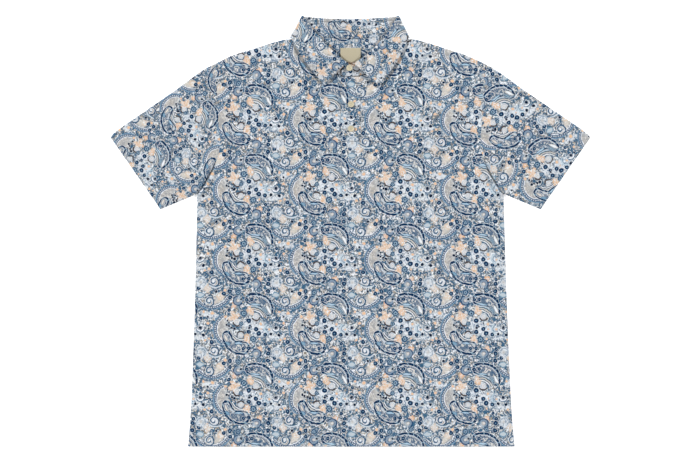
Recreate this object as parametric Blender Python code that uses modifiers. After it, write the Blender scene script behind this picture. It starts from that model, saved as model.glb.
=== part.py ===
"""Short-sleeved polo shirt laid out flat, front up.

The shirt lies on the plane Z = 0 with its hem towards -Y and its collar towards +Y; +X is the
wearer's left.  Every cloth piece is the sheet half way through its wall, worked out from the
tables below and given its thickness by Solidify.  Tables are in millimetres.
"""
import bpy
import math
import numpy as np

MM = 0.001
OBJECT_NAME = "polo_shirt"

# ---------------------------------------------------------------- driving sizes, in millimetres
CLOTH = 1.2            # wall of every cloth piece
LABEL_WALL = 1.0       # wall of the neck label
SEAM_GAP = 0.3         # clear space between two pieces that are sewn together
LAYER = CLOTH + SEAM_GAP          # from one layer's middle to the next one's
FLOOR_LAYER = CLOTH / 2           # middle of the layer that lies on the floor

HEM_Y = -393.5
ARMPIT_Y = 68.0
NECK_X = 88.0          # high point of the shoulder seam, at the neckline
NECK_Y = 359.0
FRONT_NECK_Y = 282.0   # neckline seam at the centre front
BACK_NECK_Y = 351.0    # neckline seam at the centre back
BODY_LOFT = 2.3        # how far the front panel rises over the back one
BODY_WAVE = 0.5        # soft unevenness of that rise
LOFT_EDGE = 70.0       # width over which the rise fades out at the seams
HEM_LOFT = 0.5         # share of the rise that is left at the hem

SLIT_HALF = 17.5       # half the width of the cut-out for the placket
SLIT_END_Y = 172.0
PLACKET_END_Y = 163.0
PLACKET_EDGE_X = -17.8
PLACKET_SEAM_X = 18.6
UNDER_PLACKET_FREE_X = 12.0
PLACKET_RISE = LAYER + 0.25

SLEEVE_FOLD_R = 1.3    # middle radius of the fold along the sleeve's top
SLEEVE_LOFT = 2.0
SLEEVE_TIP_SHARE = 0.9925   # the fold's centre starts just short of the armhole's upper end
SLEEVE_OFFSET = 0.45   # from the armhole of a panel to the armhole of a sleeve, along X

COLLAR_DIP = 4.6       # the back roll line is lower in the middle than at its corners
LEAF_BACK_Y = 340.0    # outer edge of the collar at the centre back, under the shirt
LEAF_INNER = 5.0       # the leaf reaches this far down inside, to its seam with the stand
ROLL_R = 0.85          # middle radius of the roll at the back and sides
STAND_FOLD_R = 1.2     # middle radius of the stand's fold at each side of the neck
LEAF_FOLD_R = STAND_FOLD_R + 2 * ROLL_R
FRONT_ROLL_R = 1.9     # middle radius of the roll at the middle of each front
FRONT_RISE = 5.2       # the roll lies higher at the centre front than at the sides
FRONT_OVERLAP_RISE = LAYER + 0.15
STAND_OFFSET = 0.8     # from the neckline of a panel to the lower edge of the stand
LEAF_SEAM_GAP = 0.7    # from the leaf's inner edge to the upper edge of the stand
LEAF_LIFT = 1.0        # clear space under the free edge of the collar
LEAF_BULGE = 1.6
SEAM_END_SHARE = 0.07  # share of the neckline's quarter that the stand's lapped end takes up
RAMP = 30.0            # the shirt climbs over the back collar within this distance
RAMP_CLEAR = 20.0      # and has its full height this far from the collar's edge

BUTTON_R = 5.75
BUTTON_WALL = 2.4
BUTTON_GAP = 0.3

# rows up the body: half width of the side seam at that height
SIDE_SEAM = [
    # y,      half_width
    (-393.5, 298.2),
    (-383.0, 297.0),
    (-328.0, 292.8),
    (-274.0, 290.1),
    (-100.0, 283.8),
    (68.0, 279.4),
]
HEM_LEAN = 1.6         # the hem lies this far towards +X of the armpits' middle

# armhole seam, from the armpit to the shoulder tip
ARMHOLE = [
    # x,     y
    (279.4, 68.0),
    (267.0, 85.0),
    (252.0, 112.0),
    (241.6, 138.0),
    (238.0, 164.0),
    (240.5, 190.0),
    (243.2, 246.0),
    (248.0, 305.0),
]

# shoulder seam, from the neckline to the shoulder tip, for the -X and the +X side
SHOULDER = [
    # x_left, x_right, y
    (88.0, 88.0, 359.0),
    (102.0, 100.0, 351.6),
    (112.0, 110.0, 349.8),
    (121.0, 119.0, 349.0),
    (150.5, 148.5, 341.3),
    (173.5, 170.5, 334.0),
    (197.0, 194.0, 326.7),
    (219.0, 215.0, 319.3),
    (248.0, 246.0, 305.0),
]

# fold along the top of each sleeve, from the shoulder tip to the cuff
SLEEVE_TOP = [
    # x_left, x_right, y
    (248.0, 246.0, 305.0),
    (270.0, 266.5, 293.5),
    (319.3, 317.0, 257.1),
    (372.4, 370.5, 220.5),
    (425.5, 423.8, 183.9),
    (438.2, 438.2, 170.5),
]
CUFF_CORNER = (347.0, 39.5)       # where the cuff meets the underarm seam

# the collar's visible curves: start at the side crease, end at the centre front
COLLAR = {
    # side: crease_top, crease_end, roll_end, roll_bow, leaf_point, edge_bow
    -1: ((88.4, 393.5), (110.6, 353.2), (7.0, 307.0), 5.0, (48.4, 268.0), 4.0),
    1: ((88.4, 393.5), (108.2, 352.8), (7.0, 305.0), 8.0, (52.8, 263.2), 7.0),
}

# loose ends of the stand past the collar's ends, the one underneath first
STAND_ENDS = {
    # side: rows of x (in the direction away from that side), y_top
    -1: [(-1.5, 303.6), (4.5, 302.8), (10.0, 300.0), (14.5, 294.5)],
    1: [(-1.5, 302.6), (4.5, 302.0), (10.5, 299.4), (15.5, 294.0)],
}

BUTTONS = {
    # name: x, y
    "button_collar": (-2.0, 296.6),
    "button_1": (1.0, 231.0),
    "button_2": (1.0, 186.5),
}

LABEL_HALF_WIDTH = 18.5
LABEL_TOP_Y = 334.0
LABEL_END_Y = 308.4

# cells of each grid
SHOULDER_CROWDING = 1.4   # above 1, the shoulder's cells crowd towards the neck
NECK_CELLS, SHOULDER_CELLS = 8, 7
SIDE_CELLS, ARMHOLE_CELLS = 11, 10
BACK_NECK_CELLS, BACK_SHOULDER_CELLS, BACK_SIDE_CELLS = 6, 5, 7
SLEEVE_CELLS, CUFF_CELLS, FOLD_CELLS = 8, 10, 5
COLLAR_FRONT_CELLS, COLLAR_FOLD_CELLS, COLLAR_BACK_CELLS = 10, 6, 12
LEAF_CELLS, ROLL_CELLS, STAND_CELLS = 6, 5, 4

COLOURS = {
    # slot: red, green, blue, roughness
    "print": (0.32, 0.37, 0.42, 0.85),
    "button": (0.78, 0.70, 0.54, 0.35),
    "label": (0.52, 0.44, 0.28, 0.7),
}


# ---------------------------------------------------------------- small helpers
def smooth(value):
    """Ease from 0 to 1 as value goes from 0 to 1."""
    value = min(max(value, 0.0), 1.0)
    return value * value * (3.0 - 2.0 * value)


def curve_at(points, share):
    """Point at a share of a Catmull-Rom curve that goes through all the points."""
    points = [np.array(p, float) for p in points]
    chords = [np.linalg.norm(b - a) for a, b in zip(points, points[1:])]
    want = min(max(share, 0.0), 1.0) * sum(chords)
    index = 0
    while index < len(chords) - 1 and want > chords[index]:
        want -= chords[index]
        index += 1
    t = want / chords[index]
    p1, p2 = points[index], points[index + 1]
    p0 = points[index - 1] if index else 2 * p1 - p2
    p3 = points[index + 2] if index + 2 < len(points) else 2 * p2 - p1
    return 0.5 * (2 * p1 + (p2 - p0) * t + (2 * p0 - 5 * p1 + 4 * p2 - p3) * t ** 2
                  + (3 * p1 - p0 - 3 * p2 + p3) * t ** 3)


def bowed(start, end, bow, share):
    """Point on the arc-like curve from start to end that bows to the right by bow."""
    start, end = np.array(start, float), np.array(end, float)
    along = (end - start) / np.linalg.norm(end - start)
    right = np.array([along[1], -along[0]])
    return start + (end - start) * share + right * bow * 4.0 * share * (1.0 - share)


def table_value(rows, key_column, value_column, key):
    """Straight-line reading of a table whose key column rises or falls."""
    rows = sorted(rows, key=lambda row: row[key_column])
    keys = [row[key_column] for row in rows]
    values = [row[value_column] for row in rows]
    return float(np.interp(key, keys, values))


def coons(inner, outer, bottom, top, a, t):
    """Point of the patch between four boundary curves."""
    blend = (1 - a) * inner(t) + a * outer(t) + (1 - t) * bottom(a) + t * top(a)
    corners = ((1 - a) * (1 - t) * inner(0) + a * (1 - t) * outer(0)
               + (1 - a) * t * inner(1) + a * t * outer(1))
    return blend - corners


# ---------------------------------------------------------------- heights of the layers
def collar_ramp(x, y):
    """1 over the back collar, 0 clear of it."""
    side = -1 if x < 0 else 1
    reach = COLLAR[side][1][0]
    edge_y = LEAF_BACK_Y + (COLLAR[side][1][1] - LEAF_BACK_Y) * (x / reach) ** 2
    outside = max(edge_y - y, abs(x) - reach, 0.0)
    return 1.0 - smooth((outside - RAMP_CLEAR) / RAMP)


def back_height(x, y):
    """Middle of the back panel's wall."""
    return FLOOR_LAYER + 2 * ROLL_R * collar_ramp(x, y)


def body_loft(x, y):
    """How far the front panel rises above its resting place on the back panel."""
    if y < ARMPIT_Y:
        half_width = table_value(SIDE_SEAM, 0, 1, y)
    else:
        half_width = table_value(ARMHOLE, 1, 0, y)
    shoulder_y = table_value(SHOULDER, 0, 2, abs(x))
    from_side = smooth((half_width - abs(x)) / LOFT_EDGE)
    from_top = smooth((shoulder_y - y) / LOFT_EDGE)
    from_hem = HEM_LOFT + (1.0 - HEM_LOFT) * smooth((y - HEM_Y) / LOFT_EDGE)
    wave = math.sin(x / 47.0 + y / 83.0) * math.cos(y / 61.0 - x / 150.0)
    return from_side * from_top * from_hem * (BODY_LOFT + BODY_WAVE * wave)


def front_height(x, y):
    """Middle of the front panel's wall."""
    neck_spread = (2 * STAND_FOLD_R - LAYER) * collar_ramp(x, y)
    return back_height(x, y) + LAYER + neck_spread + body_loft(x, y)


# ---------------------------------------------------------------- outlines of the body
def side_seam(side, share):
    """Side seam from the hem to the armpit."""
    x, y = curve_at([(width, row_y) for row_y, width in SIDE_SEAM], share)
    lean = HEM_LEAN * (ARMPIT_Y - y) / (ARMPIT_Y - HEM_Y)
    return np.array([side * x + lean, y])


def armhole(side, share):
    """Armhole seam from the armpit to the shoulder tip."""
    x, y = curve_at(ARMHOLE, share)
    tip_x = SHOULDER[-1][0 if side < 0 else 1]
    x += (tip_x - ARMHOLE[-1][0]) * smooth(share)
    return np.array([side * x, y])


def shoulder(side, share):
    """Shoulder seam from the neckline to the shoulder tip."""
    column = 0 if side < 0 else 1
    x, y = curve_at([(row[column], row[2]) for row in SHOULDER], share)
    return np.array([side * x, y])


def front_neckline(side, angle_share):
    """Front neckline: a quarter ellipse from the centre front to the shoulder."""
    angle = angle_share * math.pi / 2
    x = NECK_X * math.sin(angle)
    y = NECK_Y - (NECK_Y - FRONT_NECK_Y) * math.cos(angle)
    return np.array([side * x, y])


def back_neckline(side, share):
    """Back neckline: a shallow curve from the centre back to the shoulder."""
    x = NECK_X * share
    return np.array([side * x, BACK_NECK_Y + (NECK_Y - BACK_NECK_Y) * share ** 2])


# ---------------------------------------------------------------- meshes
def cloth_material(slot):
    red, green, blue, roughness = COLOURS[slot]
    material = bpy.data.materials.get(slot) or bpy.data.materials.new(slot)
    material.use_nodes = True
    shader = material.node_tree.nodes["Principled BSDF"]
    shader.inputs["Base Color"].default_value = (red, green, blue, 1.0)
    shader.inputs["Roughness"].default_value = roughness
    shader.inputs["Metallic"].default_value = 0.0
    return material


def add_object(name, vertices, faces, slot):
    """Mesh object from points in millimetres."""
    mesh = bpy.data.meshes.new(name)
    mesh.from_pydata([tuple(float(c) * MM for c in v) for v in vertices], [], faces)
    mesh.update()
    mesh.shade_smooth()
    mesh.materials.append(cloth_material(slot))
    obj = bpy.data.objects.new(name, mesh)
    bpy.data.collections[OBJECT_NAME].objects.link(obj)
    return obj


def add_wall(obj, wall):
    """Give an open sheet its thickness, half to each side."""
    modifier = obj.modifiers.new("wall", "SOLIDIFY")
    modifier.thickness = wall * MM
    modifier.offset = 0.0
    modifier.use_even_offset = True
    modifier.use_quality_normals = True


class Sheet:
    """Points and four-sided faces of an open sheet; equal points are shared."""

    def __init__(self):
        self.points = []
        self.index = {}
        self.faces = []

    def point(self, xyz):
        key = tuple(round(float(c), 3) for c in xyz)
        if key not in self.index:
            self.index[key] = len(self.points)
            self.points.append(key)
        return self.index[key]

    def add_grid(self, rows, flip=False, keep=lambda corners: True):
        """Faces between neighbouring rows of points."""
        ids = [[self.point(p) for p in row] for row in rows]
        for low, high in zip(ids, ids[1:]):
            for i in range(len(low) - 1):
                face = [low[i], low[i + 1], high[i + 1], high[i]]
                if keep([self.points[v] for v in face]):
                    self.faces.append(face[::-1] if flip else face)

    def build(self, name, slot, wall=CLOTH):
        obj = add_object(name, self.points, self.faces, slot)
        add_wall(obj, wall)
        return obj


def shares(cells):
    return [i / cells for i in range(cells + 1)]


def joined_shares(first_cells, second_cells, joint):
    """Stations from 0 to 1 with one of them at the joint of two curves."""
    first = [joint * s for s in shares(first_cells)]
    second = [joint + (1 - joint) * s for s in shares(second_cells)]
    return first + second[1:]


# ---------------------------------------------------------------- body panels
def body_panel(name, neckline, neck_share, centre_y, height, cells, slit):
    """One body panel: a patch for each side and a straight strip along the centre.

    neckline(side, share) runs from the centre to the shoulder, and the patches start at the
    share neck_share of it, where it passes x = SLIT_HALF.
    """
    neck_cells, shoulder_cells, side_cells = cells
    at_armpit = 0.52
    at_neck = 0.36
    sheet = Sheet()

    for side in (-1, 1):
        corner_y = neckline(side, neck_share)[1]

        def inner(t):
            if t <= at_armpit:
                y = HEM_Y + (ARMPIT_Y + 8.0 - HEM_Y) * t / at_armpit
            elif slit:
                part = (t - at_armpit) / (1 - at_armpit)
                y = float(np.interp(part, [0, 0.5, 1], [ARMPIT_Y + 8.0, SLIT_END_Y, corner_y]))
            else:
                part = (t - at_armpit) / (1 - at_armpit)
                y = ARMPIT_Y + 8.0 + (corner_y - ARMPIT_Y - 8.0) * part
            return np.array([side * SLIT_HALF, y])

        def outer(t):
            if t <= at_armpit:
                return side_seam(side, t / at_armpit)
            return armhole(side, (t - at_armpit) / (1 - at_armpit))

        def bottom(a):
            end = side_seam(side, 0)
            return inner(0) + (end - inner(0)) * a

        def top(a):
            if a <= at_neck:
                return neckline(side, neck_share + (1 - neck_share) * a / at_neck)
            return shoulder(side, ((a - at_neck) / (1 - at_neck)) ** SHOULDER_CROWDING)

        rows = []
        for t in joined_shares(side_cells, ARMHOLE_CELLS, at_armpit):
            row = [coons(inner, outer, bottom, top, a, t)
                   for a in joined_shares(neck_cells, shoulder_cells, at_neck)]
            rows.append([(p[0], p[1], height(p[0], p[1])) for p in row])
        sheet.add_grid(rows, flip=side < 0)

        def strip_y(t):
            """Height of the centre line where the patch's inner edge is at t."""
            edge_y = inner(t)[1]
            lift = centre_y - corner_y
            return edge_y + lift * smooth((edge_y - SLIT_END_Y) / (corner_y - SLIT_END_Y))

        strip = []
        for t in joined_shares(side_cells, ARMHOLE_CELLS, at_armpit):
            edge, centre = inner(t), (0.0, strip_y(t))
            strip.append([(p[0], p[1], height(p[0], p[1])) for p in (centre, edge)])
        keep_all = not slit
        sheet.add_grid(strip, flip=side < 0,
                       keep=lambda corners: keep_all or min(c[1] for c in corners) < SLIT_END_Y - 1)
    return sheet.build(name, "print")


def build_front():
    angle_share = math.asin(SLIT_HALF / NECK_X) / (math.pi / 2)
    cells = (NECK_CELLS, SHOULDER_CELLS, SIDE_CELLS)
    return body_panel("front", front_neckline, angle_share, FRONT_NECK_Y, front_height,
                      cells, slit=True)


def build_back():
    cells = (BACK_NECK_CELLS, BACK_SHOULDER_CELLS, BACK_SIDE_CELLS)
    return body_panel("back", back_neckline, SLIT_HALF / NECK_X, BACK_NECK_Y, back_height,
                      cells, slit=False)


# ---------------------------------------------------------------- placket
def placket_strip(name, x_from, x_to, y_from, y_to, rise, columns, rows):
    """Strip that follows the front panel, moved up by rise."""
    sheet = Sheet()
    grid = []
    for v in shares(rows):
        line = []
        for u in shares(columns):
            x = x_from + (x_to - x_from) * u
            y = y_from + (y_to - y_from) * v
            line.append((x, y, front_height(x, y) + rise))
        grid.append(line)
    sheet.add_grid(grid)
    return sheet.build(name, "print")


def build_plackets():
    neck_end = FRONT_NECK_Y - SEAM_GAP - 0.2
    placket_strip("placket_under", -SLIT_HALF + SEAM_GAP, UNDER_PLACKET_FREE_X,
                  SLIT_END_Y + SEAM_GAP, neck_end, 0.0, 3, 8)
    placket_strip("placket_upper", PLACKET_EDGE_X, PLACKET_SEAM_X,
                  PLACKET_END_Y, neck_end, PLACKET_RISE, 5, 10)


# ---------------------------------------------------------------- sleeves
def build_sleeve(name, side):
    """A flattened tube: under layer, fold along the top, upper layer."""
    column = 0 if side < 0 else 1
    top_points = [(row[column], row[2]) for row in SLEEVE_TOP]

    def fold_radius(w):
        return ROLL_R + (SLEEVE_FOLD_R - ROLL_R) * smooth(w * 4.0)

    def outline_top(w):
        """Centre of the fold, which lies inside the sleeve's outline."""
        here, ahead = curve_at(top_points, w), curve_at(top_points, min(w + 0.01, 1.0))
        behind = curve_at(top_points, max(w - 0.01, 0.0))
        along = (ahead - behind) / np.linalg.norm(ahead - behind)
        outward = np.array([-along[1], along[0]])
        return here, outward

    def fold_centre(w):
        here, outward = outline_top(w)
        centre = here - outward * (fold_radius(w) + CLOTH / 2)
        start, start_outward = outline_top(0)
        start_centre = start - start_outward * (fold_radius(0) + CLOTH / 2)
        return centre + (armhole_edge(1) - start_centre) * (1 - smooth(w * 4))

    def underarm(w):
        start = np.array([ARMHOLE[0][0] + SLEEVE_OFFSET, ARMPIT_Y])
        return start + (np.array(CUFF_CORNER) - start) * w

    def armhole_edge(q):
        x, y = armhole(side, q * SLEEVE_TIP_SHARE)
        return np.array([abs(x) + SLEEVE_OFFSET, y])

    def cuff(q):
        return np.array(CUFF_CORNER) + (fold_centre(1) - np.array(CUFF_CORNER)) * q

    def loft(w, q):
        near_top = fold_radius(w) * 2 - LAYER
        belly = SLEEVE_LOFT * smooth(w * 3) * smooth(q * 3) * smooth((1 - q) * 3 + 0.25)
        return LAYER + near_top * smooth((q - 0.6) / 0.4) + belly * (1 - 0.35 * smooth(w))

    rows = []
    for w in shares(SLEEVE_CELLS):
        line = []
        upper = []
        for q in shares(CUFF_CELLS):
            p = coons(armhole_edge, cuff, underarm, fold_centre, w, q)
            line.append((p[0], p[1], FLOOR_LAYER))
            upper.append((p[0], p[1], FLOOR_LAYER + loft(w, q)))
        radius = (upper[-1][2] - FLOOR_LAYER) / 2
        centre = np.array(line[-1][:2])
        outward = outline_top(w)[1]
        for i in range(1, FOLD_CELLS):
            angle = -math.pi / 2 + math.pi * i / FOLD_CELLS
            p = centre + outward * radius * math.cos(angle)
            line.append((p[0], p[1], FLOOR_LAYER + radius + radius * math.sin(angle)))
        line.extend(reversed(upper))
        rows.append([(side * p[0], p[1], p[2]) for p in line])
    sheet = Sheet()
    sheet.add_grid(rows, flip=side > 0)
    return sheet.build(name, "print")


# ---------------------------------------------------------------- collar
class Station:
    """Cross-section of the collar: seam, roll and free edge, and the way the roll turns."""

    def __init__(self, rim, towards_leaf, lip, radius, edge, seam):
        self.rim = np.array(rim, float)
        self.towards_leaf = np.array(towards_leaf, float)
        self.lip = np.array(lip, float)
        self.radius = radius
        self.edge = None if edge is None else np.array(edge, float)
        self.seam = np.array(seam, float)

    def stand_top(self):
        """Where the leaf starts inside, at the seam with the stand."""
        centre = self.rim - self.lip * self.radius
        return centre - self.towards_leaf * self.radius - self.lip * LEAF_INNER

    def roll_points(self):
        """The leaf from its inner seam over the roll to the start of its outer face."""
        centre = self.rim - self.lip * self.radius
        points = [self.stand_top()]
        for i in range(ROLL_CELLS + 1):
            angle = -math.pi / 2 + math.pi * i / ROLL_CELLS
            turn = self.lip * math.cos(angle) + self.towards_leaf * math.sin(angle)
            points.append(centre + turn * self.radius)
        return points


def crease_frame(side):
    """Unit vectors along the collar's side crease and outwards from it."""
    top, end = np.array(COLLAR[side][0]), np.array(COLLAR[side][1])
    up = (top - end) / np.linalg.norm(top - end)
    outward = np.array([up[1], -up[0]])
    return np.append(up, 0.0), np.append(outward, 0.0)


def mirrored(vector, side):
    return np.array([side * vector[0], vector[1], vector[2]])


def front_stations(side):
    """Stations from the side crease to the centre front."""
    crease_top, crease_end, roll_end, roll_bow, leaf_point, edge_bow = COLLAR[side]
    up, outward = crease_frame(side)
    inset = LEAF_FOLD_R + CLOTH / 2
    start_rim = np.append(crease_top, 0) - outward * inset - up * CLOTH / 2
    start_edge = np.append(crease_end, 0) - outward * inset
    start_seam = np.array([NECK_X, NECK_Y + STAND_OFFSET]) - outward[:2] * (STAND_FOLD_R + CLOTH / 2)
    over = 1.0 if side > 0 else 0.0
    stations = []
    for t in shares(COLLAR_FRONT_CELLS):
        rim_xy = bowed(start_rim[:2], roll_end, -roll_bow, t)
        edge_xy = bowed(start_edge[:2], leaf_point, -edge_bow, t)
        angle_share = 1 - t * (1 - SEAM_END_SHARE)
        angle = angle_share * math.pi / 2
        inward = np.array([-math.sin(angle) / NECK_X, math.cos(angle) / (NECK_Y - FRONT_NECK_Y)])
        inward /= np.linalg.norm(inward)
        seam_xy = front_neckline(1, angle_share) + inward * STAND_OFFSET
        seam_xy = start_seam + (seam_xy - start_seam) * smooth(t * 5)
        rim_ahead = bowed(start_rim[:2], roll_end, -roll_bow, t + 0.02)
        along = (rim_ahead - rim_xy) / np.linalg.norm(rim_ahead - rim_xy)
        lip_xy = np.array([along[1], -along[0]])
        turn = smooth(t * 4)
        lip = up[:2] * (1 - turn) + lip_xy * turn
        lip = np.append(lip / np.linalg.norm(lip), 0)
        rise = (FRONT_RISE + over * FRONT_OVERLAP_RISE) * smooth(t * 1.15) ** 0.8
        radius = ROLL_R + (FRONT_ROLL_R - ROLL_R) * smooth(rise / 4.0)
        rim_z = FLOOR_LAYER + 2 * LEAF_FOLD_R - ROLL_R + rise
        seam_z = front_height(side * seam_xy[0], seam_xy[1])
        seam_z += over * FRONT_OVERLAP_RISE * smooth((40.0 - seam_xy[0]) / 22.0)
        ground = front_height(side * edge_xy[0], edge_xy[1]) + 2 * ROLL_R
        edge_z = ground + LEAF_LIFT * smooth(t * 3)
        stations.append(Station(
            mirrored((*rim_xy, rim_z), side), (0, 0, 1), mirrored(lip, side), radius,
            mirrored((*edge_xy, edge_z), side), mirrored((*seam_xy, seam_z), side)))
    return stations


def fold_stations(side):
    """Stations round the side crease, from the front layer to the back layer."""
    crease_top, crease_end = COLLAR[side][:2]
    up, outward = crease_frame(side)
    inset = LEAF_FOLD_R + CLOTH / 2
    middle = np.array([0, 0, FLOOR_LAYER + LEAF_FOLD_R])
    rim_axis = np.append(crease_top, 0) - outward * inset - up * CLOTH / 2 + middle
    edge_axis = np.append(crease_end, 0) - outward * inset + middle
    seam_axis = np.array([NECK_X, NECK_Y + STAND_OFFSET, 0]) - outward * (STAND_FOLD_R + CLOTH / 2) + middle
    stations = []
    for share in shares(COLLAR_FOLD_CELLS)[1:-1]:
        angle = math.pi / 2 - math.pi * share
        away = outward * math.cos(angle) + np.array([0, 0, math.sin(angle)])
        stations.append(Station(
            mirrored(rim_axis + away * (STAND_FOLD_R + ROLL_R), side), mirrored(away, side),
            mirrored(up, side), ROLL_R, mirrored(edge_axis + away * LEAF_FOLD_R, side),
            mirrored(seam_axis + away * STAND_FOLD_R, side)))
    return stations


def back_stations():
    """Stations across the back, from -X to +X."""
    stations = []
    ends = {}
    for side in (-1, 1):
        up, outward = crease_frame(side)
        inset = LEAF_FOLD_R + CLOTH / 2
        rim = np.append(COLLAR[side][0], 0) - outward * inset - up * CLOTH / 2
        edge = np.append(COLLAR[side][1], 0) - outward * inset
        seam = np.array([NECK_X, NECK_Y + STAND_OFFSET, 0]) - outward * (STAND_FOLD_R + CLOTH / 2)
        ends[side] = (rim, edge, seam, up)
    for u in shares(COLLAR_BACK_CELLS):
        across = 2 * u - 1
        side = -1 if across < 0 else 1
        rim, edge, seam, up = ends[side]
        size = abs(across)
        rim_y = rim[1] - COLLAR_DIP * (1 - size ** 2)
        edge_y = LEAF_BACK_Y + (edge[1] - LEAF_BACK_Y) * size ** 2
        seam_low = BACK_NECK_Y + STAND_OFFSET
        seam_y = seam_low + (seam[1] - seam_low) * size ** 2
        lip = np.array([up[0] * smooth((size - 0.7) / 0.3), 1.0, 0.0])
        lip = mirrored(lip / np.linalg.norm(lip), side)
        stations.append(Station(
            (side * rim[0] * size, rim_y, FLOOR_LAYER + ROLL_R), (0, 0, -1), lip, ROLL_R,
            (side * edge[0] * size, edge_y, FLOOR_LAYER),
            (side * seam[0] * size, seam_y, FLOOR_LAYER + 2 * ROLL_R)))
    return stations


def collar_stations():
    """All stations in order: -X front, -X crease, back, +X crease, +X front."""
    left = front_stations(-1)[::-1] + fold_stations(-1)
    right = fold_stations(1)[::-1] + front_stations(1)
    return left + back_stations() + right


def build_leaf():
    """The turned-down collar, with the roll and the strip inside it."""
    rows = []
    for station in collar_stations():
        row = station.roll_points()
        start = row[-1]
        front = station.towards_leaf[2] > 0.99
        for v in shares(LEAF_CELLS)[1:]:
            point = start + (station.edge - start) * v
            if front:
                height = start[2] - (FLOOR_LAYER + 2 * LEAF_FOLD_R)
                point[2] += LEAF_BULGE * smooth(height / 3.0) * 4 * v * (1 - v)
                point[2] = max(point[2], front_height(point[0], point[1]) + LAYER + 0.05)
            row.append(point)
        rows.append(row)
    sheet = Sheet()
    sheet.add_grid(rows)
    return sheet.build("collar_leaf", "print")


def stand_end(side, last):
    """Rows of the stand past the end of the leaf on one side."""
    rows = []
    over = 1.0 if side > 0 else 0.0
    top_z = last.stand_top()[2]
    for x_away, y_top in STAND_ENDS[side]:
        x = -side * x_away
        seam_y = FRONT_NECK_Y + STAND_OFFSET
        low = np.array([x, seam_y, front_height(x, seam_y) + over * FRONT_OVERLAP_RISE])
        slope = (top_z - low[2]) / (last.stand_top()[1] - seam_y)
        high = np.array([x, y_top, low[2] + slope * (y_top - seam_y)])
        rows.append([low + (high - low) * v for v in shares(STAND_CELLS)])
    return rows


def build_stand():
    """The band between the neckline seam and the leaf; its ends lap at the centre front."""
    stations = collar_stations()
    rows = stand_end(-1, stations[0])[::-1]
    for station in stations:
        rise = station.stand_top() - station.seam
        rise *= 1 - LEAF_SEAM_GAP / np.linalg.norm(rise)
        rows.append([station.seam + rise * v for v in shares(STAND_CELLS)])
    rows += stand_end(1, stations[-1])
    sheet = Sheet()
    sheet.add_grid(rows)
    return sheet.build("collar_stand", "print")


# ---------------------------------------------------------------- buttons and label
def build_button(name, x, y, base_z):
    """Turned button with a raised rim, standing on base_z."""
    wall, radius = BUTTON_WALL, BUTTON_R
    profile = [
        (0.0, wall * 0.62), (radius * 0.62, wall * 0.62), (radius * 0.78, wall),
        (radius * 0.92, wall * 0.92), (radius, wall * 0.6), (radius * 0.93, wall * 0.18),
        (radius * 0.8, 0.0), (0.0, 0.0),
    ]
    vertices = [(px, 0.0, pz) for px, pz in profile]
    mesh = bpy.data.meshes.new(name)
    edges = [(i, i + 1) for i in range(len(profile) - 1)]
    mesh.from_pydata([tuple(c * MM for c in v) for v in vertices], edges, [])
    mesh.materials.append(cloth_material("button"))
    obj = bpy.data.objects.new(name, mesh)
    bpy.data.collections[OBJECT_NAME].objects.link(obj)
    obj.location = (x * MM, y * MM, base_z * MM)
    screw = obj.modifiers.new("turned", "SCREW")
    screw.axis = "Z"
    screw.angle = math.tau
    screw.steps = 24
    screw.render_steps = 24
    screw.use_merge_vertices = True
    screw.merge_threshold = 0.00002
    screw.use_smooth_shade = True
    return obj


def build_buttons():
    for name, (x, y) in BUTTONS.items():
        if name == "button_collar":
            base = stand_height(x, y)
        else:
            base = max(front_height(x + dx, y + dy) + PLACKET_RISE
                       for dx in (-BUTTON_R, 0, BUTTON_R) for dy in (-BUTTON_R, 0, BUTTON_R))
        build_button(name, x, y, base + CLOTH / 2 + BUTTON_GAP)


def stand_height(x, y):
    """Middle of the upper end of the stand at the top of a button that lies on it."""
    last = collar_stations()[-1]
    seam_y = FRONT_NECK_Y + STAND_OFFSET
    low = front_height(x, seam_y) + FRONT_OVERLAP_RISE
    slope = (last.stand_top()[2] - low) / (last.stand_top()[1] - seam_y)
    return low + slope * (y + BUTTON_R - seam_y)


def build_label():
    """Blank label on the inside of the back panel."""
    rise = CLOTH / 2 + SEAM_GAP + LABEL_WALL / 2 + 0.15
    sheet = Sheet()
    grid = []
    for v in shares(6):
        line = []
        for u in shares(4):
            x = LABEL_HALF_WIDTH * (2 * u - 1)
            round_off = 1.2 * (2 * u - 1) ** 4
            end_y = LABEL_END_Y + round_off
            y = end_y + (LABEL_TOP_Y - end_y) * v
            line.append((x, y, back_height(x, y) + rise))
        grid.append(line)
    sheet.add_grid(grid)
    return sheet.build("label", "label", LABEL_WALL)


# ---------------------------------------------------------------- the shirt
def main():
    for obj in list(bpy.data.objects):
        bpy.data.objects.remove(obj, do_unlink=True)
    collection = bpy.data.collections.new(OBJECT_NAME)
    bpy.context.scene.collection.children.link(collection)
    build_back()
    build_front()
    build_plackets()
    build_sleeve("sleeve_left", 1)
    build_sleeve("sleeve_right", -1)
    build_stand()
    build_leaf()
    build_buttons()
    build_label()


main()
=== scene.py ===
"""Looks of the polo shirt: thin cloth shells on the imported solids, print, stitches and light.

Sizes are in millimetres and become metres when a mesh is made.  X, Y and Z are the part's own:
hem towards -Y, collar towards +Y, +X is the wearer's left, and the shirt lies on Z = 0.
"""
import math

import bpy
import numpy as np
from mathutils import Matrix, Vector
from mathutils.geometry import delaunay_2d_cdt


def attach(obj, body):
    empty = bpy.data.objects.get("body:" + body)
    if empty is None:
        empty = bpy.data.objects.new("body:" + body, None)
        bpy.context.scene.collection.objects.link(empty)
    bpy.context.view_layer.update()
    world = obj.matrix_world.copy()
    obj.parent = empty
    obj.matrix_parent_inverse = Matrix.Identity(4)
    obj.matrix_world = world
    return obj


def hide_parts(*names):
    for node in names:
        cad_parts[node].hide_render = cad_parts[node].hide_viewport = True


MM = 0.001

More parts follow.
